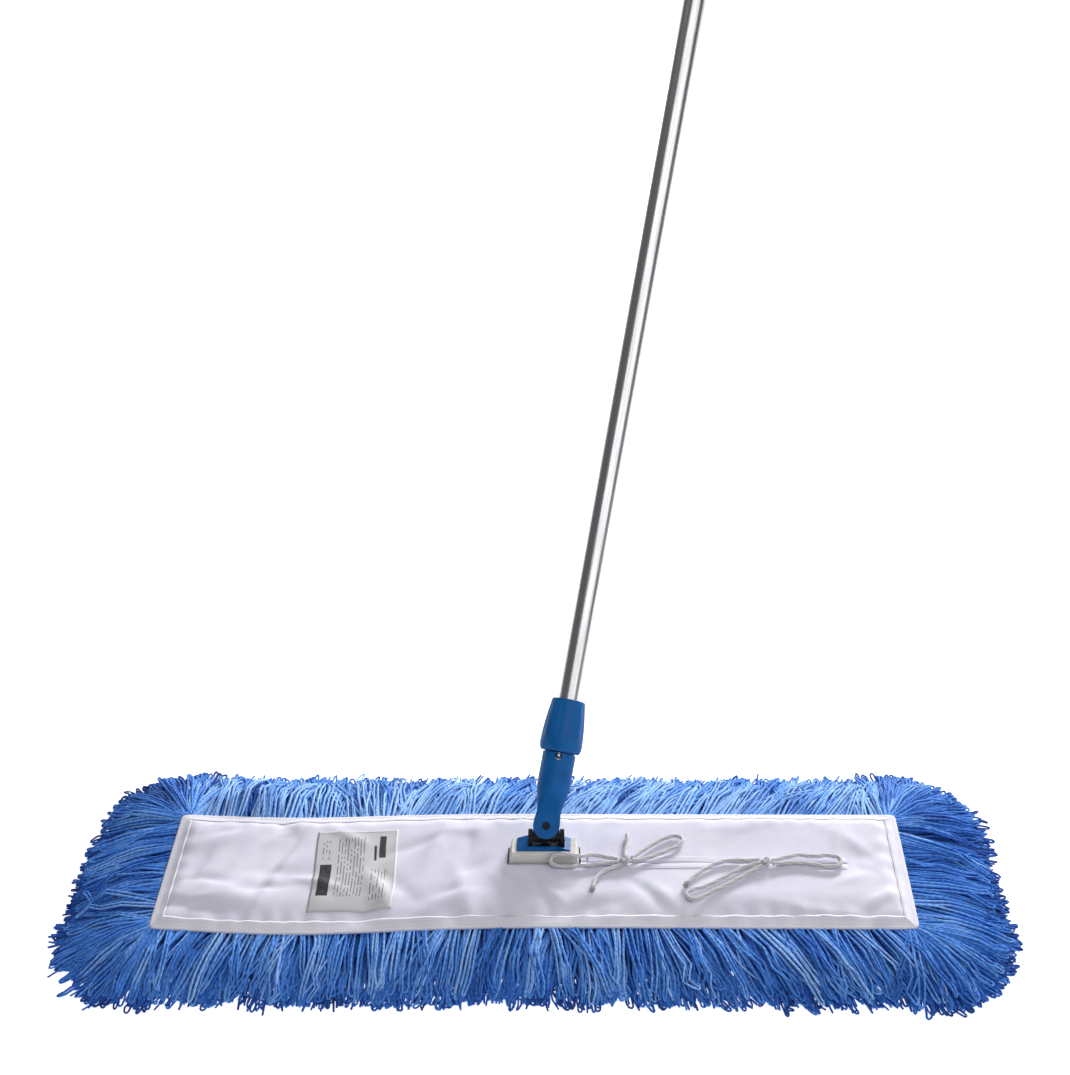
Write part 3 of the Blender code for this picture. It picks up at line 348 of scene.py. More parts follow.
def spin(name, lines, material, sides=5):
    """Solid strands along lines, each a dict of points, thick, tone and depth."""
    points = np.concatenate([line["points"] for line in lines])
    counts = np.array([len(line["points"]) for line in lines])
    starts = np.concatenate([[0], np.cumsum(counts)[:-1]])
    edges = [(s + k, s + k + 1) for s, n in zip(starts, counts) for k in range(n - 1)]
    made = piece(name, points, [], material, edges, smooth=False)
    for key in ("thick", "dye_and_painted_light", "depth_shade"):
        values = np.concatenate([np.broadcast_to(line[key], len(line["points"])) for line in lines])
        made.data.attributes.new(key, "FLOAT", "POINT").data.foreach_set("value", values.astype(np.float32))
    modifier = made.modifiers.new("spin", "NODES")
    modifier.node_group = STRANDS
    modifier[SIDES_INPUT] = sides
    modifier[FINISH_INPUT] = material
    return plain(made)


print("strand tree with", len(STRANDS.nodes), "nodes")

# %% [markdown]
# The canvas is where the CAD has it, but sewn cloth is never a straight slab. Its
# hems bow a little towards the front on the left, it slopes from the wires down
# to the hem, and it puckers where it is sewn. One function gives the height of
# the cloth anywhere, and one moves a point with the bowed hems, so the canvas,
# the tape, the label and the stitches all agree about where the cloth is.

# %% The cloth's surface
LONG, DEEP = 0.400, 0.0905  # half sizes of the canvas
HEM_Z, FLAT_Z = 25.0 * mm, 33.5 * mm
rng = np.random.default_rng(11)
folds = []
for _ in range(64):
    x, y = rng.uniform(-0.385, 0.385), rng.uniform(-0.080, 0.080)
    if -0.05 < x < 0.33 and -0.065 < y < 0.050:
        continue  # the frame's strap, the slit and its bows keep the cloth flat here
    left = x < -0.05
    turn = rng.normal(0.5 if left else 0.1, 0.7)
    high = rng.uniform(1.5, 3.8) * (1.0 if left else 0.7) * rng.choice([-1, 1]) * mm
    folds.append((x, y, turn, rng.uniform(0.018, 0.050), rng.uniform(0.0055, 0.0125), high))
# the named creases: from the joint towards the front, and a slack one beside it
folds += [
    (-0.004, -0.030, -1.0, 0.034, 0.0050, -3.2 * mm), (0.016, -0.036, -1.0, 0.030, 0.0065, 2.6 * mm),
    (-0.034, -0.030, -1.2, 0.030, 0.0070, 2.2 * mm), (0.118, -0.046, -0.9, 0.024, 0.0070, -2.2 * mm),
    (0.140, -0.052, -0.8, 0.022, 0.0070, 1.6 * mm), (-0.345, 0.045, 0.5, 0.035, 0.0110, 3.2 * mm),
    (-0.300, 0.020, 0.9, 0.034, 0.0100, -3.4 * mm), (-0.335, -0.035, -0.4, 0.040, 0.0110, 3.0 * mm),
    (-0.110, 0.030, 1.2, 0.034, 0.0090, 2.8 * mm), (-0.090, -0.045, 0.2, 0.040, 0.0090, -2.6 * mm),
    (-0.060, 0.000, 0.7, 0.034, 0.0080, -2.6 * mm), (-0.070, 0.055, 0.1, 0.040, 0.0080, 2.4 * mm),
    (0.345, 0.035, -0.7, 0.030, 0.0090, 2.4 * mm), (0.362, -0.040, 0.8, 0.034, 0.0090, -2.4 * mm),
    (0.230, 0.062, 0.2, 0.050, 0.0080, 1.6 * mm), (0.300, -0.070, -0.2, 0.050, 0.0080, 1.8 * mm),
]


def soft_step(t):
    t = np.clip(t, 0.0, 1.0)
    return t * t * (3 - 2 * t)


def bowed(x, y):
    """The y of a point of the straight canvas once its hems have bowed."""
    front = -0.0125 * np.exp(-((x + 0.255) / 0.150) ** 2)
    back = -0.0080 * np.exp(-((x + 0.270) / 0.130) ** 2)
    share = np.clip((y + DEEP) / (2 * DEEP), 0, 1)
    return y + front * (1 - share) + back * share


def cloth_height(x, y):
    """Middle of the cloth's thickness over a point of the straight canvas."""
    x, y = np.asarray(x, float), np.asarray(y, float)
    edge = np.minimum(LONG - np.abs(x), DEEP - np.abs(y))
    rise = np.minimum(soft_step(edge / 0.026), soft_step((y + DEEP + 0.010) / 0.056))
    z = HEM_Z + (FLAT_Z - HEM_Z) * rise
    # slack between the wires, which lie at y = -38 and +58 mm
    slack = np.exp(-((y - 0.010) / 0.030) ** 2) * soft_step((np.abs(x - 0.010) - 0.045) / 0.05)
    z = z - 1.3 * mm * slack * rise
    crease = 0.0
    for fx, fy, turn, run, wide, high in folds:
        along = (x - fx) * math.cos(turn) + (y - fy) * math.sin(turn)
        side = -(x - fx) * math.sin(turn) + (y - fy) * math.cos(turn)
        side = side + 0.25 * wide * np.sin(along * 70 + fx * 90)
        crease = crease + 1.2 * high * np.exp(-((along / run) ** 2) - np.abs(side / wide) ** 1.6)
    crease = 3.4 * mm * np.tanh(crease / (3.4 * mm))
    clear = soft_step((np.abs(x - 0.010) - 0.050) / 0.03)  # the strap holds it flat by the joint
    near_slit = 1 - 0.75 * np.exp(-((y / 0.014) ** 2)) * (x > 0.03) * (x < 0.345)
    z = z + crease * soft_step(edge / 0.014) * np.maximum(clear, soft_step((-0.010 - y) / 0.012)) * near_slit
    z = z + 0.8 * mm * soft_step((x - 0.04) / 0.04) * rise  # lifted by the ties
    # the cloth can't sink into the wires or the strap over them
    wires = np.maximum(np.exp(-((y + 0.038) / 0.009) ** 4), np.exp(-((y - 0.058) / 0.009) ** 4))
    wires = wires * (np.abs(x) < 0.367)
    wires = np.maximum(wires, np.exp(-((np.abs(x) - 0.3617) / 0.009) ** 4) * (y > -0.040) * (y < 0.060))
    strap = soft_step((0.034 - np.abs(x - 0.0105)) / 0.008) * (y > -0.050) * (y < 0.070)
    least = np.maximum(26.5 * mm, np.maximum(31.5 * mm * wires, 33.1 * mm * strap)) * soft_step(edge / 0.022)
    z = np.where(z < least, least + 0.04 * (z - least), z)
    pucker = np.sin(2 * np.pi * (x / 0.031 + 0.6 * np.sin(x * 23))) * np.exp(-((edge - 0.016) / 0.010) ** 2)
    pucker += np.sin(2 * np.pi * (y / 0.027)) * np.exp(-((LONG - np.abs(x) - 0.018) / 0.010) ** 2)
    return z + 0.7 * mm * pucker * soft_step(edge / 0.010)


print("cloth function with", len(folds), "folds")


# %% [markdown]
# Mop canvas is plain-woven cotton and polyester, bleached white: matt, with a
# fine weave that breaks up the light, faint slubs, and a cool violet cast in its
# hollows. The yarns are about 0.5 mm apart, too fine to show at this distance,
# so the weave is drawn at 1.3 mm. The tape is the same family, ribbed across.

# %% Canvas, tape and label finishes
def woven(name, colours, spacing, height, sheen=0.15):
    """Plain weave in two crossing rows, with slubs, on Object coordinates."""
    material, tree, shader = finish(name, colours[1], 0.88)
    place = add(tree, "ShaderNodeTexCoord").outputs["Object"]
    rows = []
    for axis in ("X", "Y"):
        rows.append(add(
            tree, "ShaderNodeTexWave",
            {"Vector": place, "Scale": 2 * math.pi / (20 * spacing), "Distortion": 0.35,
             "Detail": 1.0, "Detail Scale": 2.0},
            wave_type="BANDS", bands_direction=axis, wave_profile="SIN").outputs["Fac"])
    weave = add(tree, "ShaderNodeMath", {0: rows[0], 1: rows[1]}, operation="MULTIPLY").outputs[0]
    slub = add(tree, "ShaderNodeTexNoise", {"Vector": place, "Scale": 55.0, "Detail": 3.0}).outputs["Fac"]
    cloud = add(tree, "ShaderNodeTexNoise", {"Vector": place, "Scale": 9.0, "Detail": 2.0}).outputs["Fac"]
    level = add(tree, "ShaderNodeMath", {0: slub, 1: 0.35, 2: 0.27}, operation="MULTIPLY_ADD").outputs[0]
    level = add(tree, "ShaderNodeMath", {0: weave, 1: 0.07, 2: level}, operation="MULTIPLY_ADD").outputs[0]
    level = add(tree, "ShaderNodeMath", {0: cloud, 1: 0.45, 2: level}, operation="MULTIPLY_ADD").outputs[0]
    shade = ramp(tree, level, ((0.30, colours[0]), (0.62, colours[1]), (0.9, colours[2])))
    tree.links.new(shade, shader.inputs["Base Color"])
    shader.inputs["Sheen Weight"].default_value = sheen
    shader.inputs["Specular IOR Level"].default_value = 0.25
    roughen(tree, shader, weave, height, 0.6)
    return material


CANVAS = woven("bleached_canvas_plain_weave", ("#cbc8dd", "#dad8e9", "#e8e7f2"), 1.3 * mm, 0.12 * mm)
TAPE = woven("cotton_binding_tape_ribbed", ("#d2cfdc", "#dfdde8", "#eceaf2"), 1.0 * mm, 0.12 * mm)
THREAD, _, thread_shader = finish("sewing_thread_polyester", "#bfbcc9", 0.6)
thread_shader.inputs["Sheen Weight"].default_value = 0.2
print("finishes:", CANVAS.name, TAPE.name, THREAD.name)

# %% [markdown]
# The top canvas is two halves that meet along the middle. Between them lies the
# opening for the joint and the slit that lets the wire frame in, so the halves
# are separate there and sewn into one everywhere else. A grid of 4 mm squares
# carries the folds, and Solidify gives it the thickness of cloth.

# %% Top and base canvas
xs = np.union1d(np.linspace(-LONG, LONG, 221), (-0.0295, -0.0285, 0.0495, 0.0505))
columns, rows = len(xs), 26


def lip(x, side):
    """How far the front (-1) or back (+1) half's inner edge lies from the middle line."""
    mouth = soft_step((x + 0.0295) / 0.0010) * soft_step((0.0505 - x) / 0.0010)
    slit = soft_step((x - 0.050) / 0.006) * (x < 0.335)
    return (24.5 * mm if side > 0 else -3.5 * mm) * mouth + side * 0.6 * mm * slit * (1 - mouth)


points, faces = [], []
for side in (-1, 1):
    first = len(points)
    for i in range(rows):
        share = i / (rows - 1)
        y = lip(xs, side) * (1 - share) + side * DEEP * share
        z = cloth_height(xs, y)
        lifted = np.exp(-((y - lip(xs, side)) / 0.010) ** 2)
        lifted = lifted * soft_step((0.0405 - np.abs(xs - 0.0105)) / 0.004)
        points += list(zip(xs, bowed(xs, y), z + (0.5 * mm if side < 0 else 0.2 * mm) * lifted))
    faces += grid_faces(rows, columns, first=first)
canvas_top = piece("canvas_top", points, faces, CANVAS)
outward(canvas_top, 0.00005)
if sum(p.normal.z * p.area for p in canvas_top.data.polygons) < 0:
    canvas_top.data.flip_normals()
cloth = canvas_top.modifiers.new("cloth", "SOLIDIFY")
cloth.thickness, cloth.offset = 1.0 * mm, 0.0
seat(plain(canvas_top), "mop_head", "canvas", "top_canvas")

base_y = np.linspace(-DEEP, DEEP, 12)
base_x = np.linspace(-LONG, LONG, 60)
points = [(x, float(bowed(x, y)), 22.9 * mm + 0.2 * mm * math.sin(x * 90) * math.cos(y * 70))
          for y in base_y for x in base_x]
canvas_base = piece("canvas_base", points, grid_faces(12, 60), CANVAS)
cloth = canvas_base.modifiers.new("cloth", "SOLIDIFY")
cloth.thickness, cloth.offset = 0.9 * mm, 0.0
seat(plain(canvas_base), "mop_head", "canvas", "base_canvas")

# %% [markdown]
# Bias tape is folded over the canvas edge and sewn through. Its cross-section is
# a flat C: along the top, round the edge, and back underneath. Each ring of the
# loft is the canvas outline drawn in or out by the same amount, which keeps the
# corners mitred without any special case.


# %% Binding tape
def outline(inset, long_steps=110, short_steps=26, corner_steps=4):
    """The canvas outline drawn in by inset, counterclockwise, with softened corners."""
    x, y = LONG - inset, DEEP - inset
    r = max(0.0062 - inset, 0.0004)
    found = []
    for i, (sx, sy) in enumerate(((1, 1), (-1, 1), (-1, -1), (1, -1))):
        for k in range(corner_steps + 1):
            turn = math.pi / 2 * (i + k / corner_steps)
            found.append((sx * (x - r) + r * math.cos(turn), sy * (y - r) + r * math.sin(turn)))
        a = found[-1]
        nx, ny = ((-1, 1), (-1, -1), (1, -1), (1, 1))[i]
        b = (nx * x, ny * (y - r)) if i in (1, 3) else (nx * (x - r), ny * y)
        steps = long_steps if i in (0, 2) else short_steps
        for k in range(1, steps):
            found.append((a[0] + (b[0] - a[0]) * k / steps, a[1] + (b[1] - a[1]) * k / steps))
    return np.array(found)


def tape_ring(inset, lift, ripple=0.0):
    ring = outline(inset)
    x, y = ring[:, 0], ring[:, 1]
    z = cloth_height(x, y) + lift
    z += ripple * np.sin(np.arange(len(x)) * 0.9 + 1.5 * np.sin(np.arange(len(x)) * 0.13))
    return np.column_stack([x, bowed(x, y), z])


section = (
    (13.6, 0.62, 0.10), (13.8, 0.95, 0.18), (12.0, 1.20, 0.12), (8.5, 1.25, 0.10), (4.5, 1.35, 0.06),
    (1.5, 1.45, 0.05), (0.0, 1.30, 0.05), (-0.9, 0.70, 0.0), (-1.15, -0.1, 0.0), (-0.9, -0.95, 0.0),
    (0.2, -1.45, 0.0), (3.0, -1.6, 0.0), (3.0, -0.75, 0.0),
    (0.6, -0.6, 0.0), (0.6, 0.58, 0.0), (6.0, 0.60, 0.0),
)
rings = [tape_ring(inset * mm, lift * mm, ripple * mm) for inset, lift, ripple in section]
binding_tape = piece("binding_tape", np.concatenate(rings), [
    face for k in range(len(rings)) for face in [
        (k * len(rings[0]) + j, k * len(rings[0]) + (j + 1) % len(rings[0]),
         ((k + 1) % len(rings)) * len(rings[0]) + (j + 1) % len(rings[0]),
         ((k + 1) % len(rings)) * len(rings[0]) + j) for j in range(len(rings[0]))]
], TAPE)
seat(outward(binding_tape), "mop_head", "tape", "edge_binding")

# %% [markdown]
# The stitches are what tells the eye that the tape is sewn. Geometry Nodes walks
# two lines round the tape and sets one short rounded stitch every 3.4 mm, turned
# along the line. The same tree sews the slit hems and the label.


# %% Stitch tree
def stitch_tree():
    tree = bpy.data.node_groups.new("stitches_on_lines", "GeometryNodeTree")
    face = tree.interface
    face.new_socket("Geometry", in_out="INPUT", socket_type="NodeSocketGeometry")
    inputs = [
        face.new_socket(name, in_out="INPUT", socket_type="NodeSocketFloat").identifier
        for name in ("Pitch", "Stitch Length", "Thread Width")
    ]
    face.new_socket("Geometry", in_out="OUTPUT", socket_type="NodeSocketGeometry")
    entry = add(tree, "NodeGroupInput")
    line = add(tree, "GeometryNodeMeshToCurve", {"Mesh": entry.outputs["Geometry"]}).outputs[0]
    evenly = add(tree, "GeometryNodeResampleCurve", {"Curve": line})
    if "Mode" in evenly.inputs:
        evenly.inputs["Mode"].default_value = "Length"
    else:
        evenly.mode = "LENGTH"
    tree.links.new(entry.outputs["Pitch"], evenly.inputs["Length"])
    bead = add(tree, "GeometryNodeMeshUVSphere", {"Segments": 6, "Rings": 4, "Radius": 0.5}).outputs["Mesh"]
    size = add(tree, "ShaderNodeCombineXYZ", {
        0: entry.outputs["Stitch Length"], 1: entry.outputs["Thread Width"],
        2: entry.outputs["Thread Width"]})
    tangent = add(tree, "GeometryNodeInputTangent").outputs[0]
    turn = add(tree, "FunctionNodeAlignEulerToVector", {"Vector": tangent}, axis="X").outputs[0]
    sewn = add(tree, "GeometryNodeInstanceOnPoints", {
        "Points": evenly.outputs[0], "Instance": bead, "Rotation": turn, "Scale": size.outputs[0]}).outputs[0]
    real = add(tree, "GeometryNodeRealizeInstances", {"Geometry": sewn}).outputs[0]
    soft = add(tree, "GeometryNodeSetShadeSmooth", {"Geometry": real}).outputs[0]
    dressed = add(tree, "GeometryNodeSetMaterial", {"Geometry": soft, "Material": THREAD}).outputs[0]
    add(tree, "NodeGroupOutput", {"Geometry": dressed})
    return tree, inputs


STITCHES, STITCH_INPUTS = stitch_tree()


def sew(name, lines, pitch=3.4 * mm, length=2.5 * mm, width=0.42 * mm):
    """Stitches along polylines of points on the cloth, joined in one piece."""
    points, edges = [], []
    for line in lines:
        edges += [(len(points) + k, len(points) + k + 1) for k in range(len(line) - 1)]
        points += [tuple(p) for p in line]
    made = piece(name, points, [], THREAD, edges, smooth=False)
    modifier = made.modifiers.new("sew", "NODES")
    modifier.node_group = STITCHES
    for key, value in zip(STITCH_INPUTS, (pitch, length, width)):
        modifier[key] = value
    return seat(plain(made), "mop_head", "tape")


rows_of_thread = []
for inset in (3.2 * mm, 11.4 * mm):
    ring = tape_ring(inset, 1.42 * mm)
    rows_of_thread.append(np.vstack([ring, ring[:1]]))
sew("tape_stitches", rows_of_thread)

# %% [markdown]
# The slit's two edges are turned under and hemmed with a narrow tape, and the
# cloth there is held only by its ties, so the hems wander a little. Each hem is a
# strip lofted over the cloth function, half a millimetre proud of it.


# %% Slit hems
def strip(name, x0, x1, inner, outer, lift, thick, material, steps=90, wander=0.0, phase=0.0):
    """A band over the cloth from x0 to x1 between two distances from the middle line."""
    x = np.linspace(x0, x1, steps)
    drift = wander * np.sin(x * 41 + phase) * np.sin(np.pi * (x - x0) / (x1 - x0))
    levels = []
    for share, up in ((0, 0.0), (0.0, 0.7), (0.12, 1.0), (0.5, 1.05), (0.88, 1.0), (1.0, 0.7), (1.0, 0.0)):
        y = inner + (outer - inner) * share + drift
        levels.append(np.column_stack([x, bowed(x, y), cloth_height(x, y) + lift + thick * up]))
    made = piece(name, np.concatenate(levels), grid_faces(7, steps) + [
        tuple(k * steps for k in range(7)), tuple(k * steps + steps - 1 for k in range(7)),
    ] + [(k, k + 1, 6 * steps + k + 1, 6 * steps + k) for k in range(steps - 1)], material)
    return outward(made)


hem_front = strip("hem_front", 0.057, 0.335, -1.2 * mm, -9.8 * mm, 0.50 * mm, 0.6 * mm, CANVAS,
                  90, 0.9 * mm, 0.4)
hem_back = strip("hem_back", 0.057, 0.335, 1.2 * mm, 9.8 * mm, 0.50 * mm, 0.6 * mm, CANVAS, 90, 0.9 * mm, 2.1)
seat(hem_front, "mop_head", "tape", "slit_hem_front")
seat(hem_back, "mop_head", "tape", "slit_hem_back")
hem_lines = []
for side in (-1, 1):
    x = np.linspace(0.060, 0.332, 80)
    y = side * 7.6 * mm + 0 * x
    hem_lines.append(np.column_stack([x, bowed(x, y), cloth_height(x, y) + 1.75 * mm]))
sew("hem_stitches", hem_lines)


# %% [markdown]
# The care label is a rectangle of satin-woven nylon, printed in grey and sewn on
# round its edge. Its print is generic: one dark block and plain bars where words
# would be. The bars are drawn in the label's own UV space with simple comparisons,
# so they stay with the label as it ripples over the cloth.

# %% Care label
def printed_label():
    material, tree, shader = finish("satin_woven_label_printed", "#dcdce0", 0.55)
    spot = add(tree, "ShaderNodeUVMap", uv_map="label").outputs["UV"]
    flat = add(tree, "ShaderNodeSeparateXYZ", {0: spot})
    u, v = flat.outputs["X"], flat.outputs["Y"]

    def within(value, low, high):
        over = add(tree, "ShaderNodeMath", {0: value, 1: low}, operation="GREATER_THAN").outputs[0]
        under = add(tree, "ShaderNodeMath", {0: value, 1: high}, operation="LESS_THAN").outputs[0]
        return add(tree, "ShaderNodeMath", {0: over, 1: under}, operation="MULTIPLY").outputs[0]

    def area(u0, u1, v0, v1):
        return add(tree, "ShaderNodeMath", {0: within(u, u0, u1), 1: within(v, v0, v1)},
                   operation="MULTIPLY").outputs[0]

    def both(a, b, operation="MAXIMUM"):
        return add(tree, "ShaderNodeMath", {0: a, 1: b}, operation=operation).outputs[0]

    block = area(0.07, 0.21, 0.17, 0.58)
    # bars stand in for lines of words: a comb across u, broken up along v by a coarse noise
    comb = add(tree, "ShaderNodeMath", {0: u, 1: 26.0}, operation="MULTIPLY").outputs[0]
    comb = add(tree, "ShaderNodeMath", {0: comb}, operation="FRACT").outputs[0]
    steps = add(tree, "ShaderNodeCombineXYZ", {
        0: add(tree, "ShaderNodeMath", {0: u, 1: 26.0}, operation="MULTIPLY").outputs[0],
        1: add(tree, "ShaderNodeMath", {0: v, 1: 34.0}, operation="MULTIPLY").outputs[0]})
    cell = add(tree, "ShaderNodeVectorMath", {0: steps.outputs[0]}, operation="FLOOR").outputs[0]
    chance = add(tree, "ShaderNodeTexWhiteNoise", {"Vector": cell}, noise_dimensions="2D").outputs["Value"]
    bars = both(within(comb, 0.28, 0.66), within(chance, 0.30, 1.1), "MULTIPLY")
    fields = both(area(0.28, 0.62, 0.16, 0.90), area(0.68, 0.90, 0.12, 0.50))
    fields = both(fields, area(0.08, 0.20, 0.64, 0.88))
    title = both(area(0.78, 0.86, 0.66, 0.92), area(0.72, 0.75, 0.62, 0.80))
    grey = both(bars, fields, "MULTIPLY")
    darkening = add(tree, "ShaderNodeTexNoise", {"Vector": spot, "Scale": 30.0, "Detail": 3.0}).outputs["Fac"]
    strength = add(tree, "ShaderNodeMath", {0: darkening, 1: 0.25, 2: 0.86}, operation="MULTIPLY_ADD").outputs[0]
    weight = both(both(block, both(title, grey), "MAXIMUM"), strength, "MULTIPLY")
    light = add(tree, "ShaderNodeMath", {0: grey, 1: -0.40, 2: 1.0}, operation="MULTIPLY_ADD").outputs[0]
    weight = both(weight, light, "MULTIPLY")
    mix = add(tree, "ShaderNodeMix", {"Factor": weight, "A": linear("#c9c9cc"), "B": linear("#1c1c22")},
              data_type="RGBA")
    tree.links.new(mix.outputs["Result"], shader.inputs["Base Color"])
    sheen = add(tree, "ShaderNodeTexWave", {"Vector": spot, "Scale": 30.0, "Distortion": 1.0},
                bands_direction="Y")
    roughen(tree, shader, sheen.outputs["Fac"], 0.15 * mm, 0.5)
    return material


LABEL = printed_label()
label_low, label_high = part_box("care_label")
wide, tall = label_high[0] - label_low[0], label_high[1] - label_low[1]
lx, ly = (label_low[0] + label_high[0]) / 2, (label_low[1] + label_high[1]) / 2
across_steps, up_steps = 30, 42
sheet_points, sheet_uv = [], []
for lift in (0.62, 0.98):
    for j in range(up_steps):
        for i in range(across_steps):
            u, v = i / (across_steps - 1), j / (up_steps - 1)
            x, y = lx + wide * (u - 0.5), ly + tall * (v - 0.5)
            x += 0.0012 * math.sin(v * 5.0) - 0.002 * (v - 0.5)
            edge = min(u, 1 - u, v, 1 - v)
            loose = 0.9 * mm * max(0.0, math.sin(u * 9 + v * 4)) * min(1.0, edge * 9)
            z = float(cloth_height(x, y)) + lift * mm + loose
            sheet_points.append((x, float(bowed(x, y)), z))
            sheet_uv.append((u, v))
size = across_steps * up_steps
top_faces = grid_faces(up_steps, across_steps, first=size)
under_faces = [tuple(reversed(f)) for f in grid_faces(up_steps, across_steps)]
border = list(range(across_steps)) + [j * across_steps + across_steps - 1 for j in range(1, up_steps)]
border += list(range(size - 2, size - across_steps - 1, -1))
border += [j * across_steps for j in range(up_steps - 2, 0, -1)]
side_faces = [(a, b, b + size, a + size) for a, b in zip(border, border[1:] + border[:1])]
label_patch = piece("label_patch", sheet_points, top_faces + under_faces + side_faces, LABEL)
layer = label_patch.data.uv_layers.new(name="label")
for loop in label_patch.data.loops:
    layer.data[loop.index].uv = sheet_uv[loop.vertex_index]
seat(outward(label_patch), "mop_head", "label_cloth", "care_label")
label_line = [Vector(sheet_points[size + k]) for k in border + border[:1]]
centre = sum(label_line, Vector()) / len(label_line)
label_line = [p + (centre - p) * 0.045 + Vector((0, 0, 0.35 * mm)) for p in label_line]
sew("label_stitches", [label_line], 3.0 * mm, 2.0 * mm, 0.55 * mm)

# %% [markdown]
# Looped mop yarn leaves the canvas edge in layers. Every strand goes out, turns
# back at its tip and returns, so the fringe ends in small loops, with some cut
# ends among them. Three things make it look like yarn and not like a brush: the
# strands lean together in slow waves, they gather in clumps of a finger's width,
# and a few always stray. Lower layers lie flat on the floor, upper ones arch.

# %% Fringe lines
yarn_rng = np.random.default_rng(7)
ROOT_X, ROOT_Y = LONG - 3 * mm, DEEP - 3 * mm
PATH = 2 * (2 * ROOT_X + 2 * ROOT_Y)


def root_and_way(s):
    """Root point and outward angle at distance s round the canvas, from the front left corner."""
    s = s % PATH
    for length, start, step, way in (
        (2 * ROOT_X, (-ROOT_X, -ROOT_Y), (1, 0), -90.0), (2 * ROOT_Y, (ROOT_X, -ROOT_Y), (0, 1), 0.0),
        (2 * ROOT_X, (ROOT_X, ROOT_Y), (-1, 0), 90.0), (2 * ROOT_Y, (-ROOT_X, ROOT_Y), (0, -1), 180.0),
    ):
        if s <= length:
            return start[0] + step[0] * s, start[1] + step[1] * s, way, s, length - s
        s -= length
    return -ROOT_X, -ROOT_Y, -90.0, 0.0, 1.0


def slow(s, seed, scale):
    """A smooth random number from -1 to 1 that changes over about that distance."""
    total = 0.0
    for k in range(1, 5):
        total += math.sin(s * 2 * math.pi / scale * (0.6 + 0.37 * k) + seed * 12.9898 * k) / (1 + 0.35 * k)
    return total / 2.1


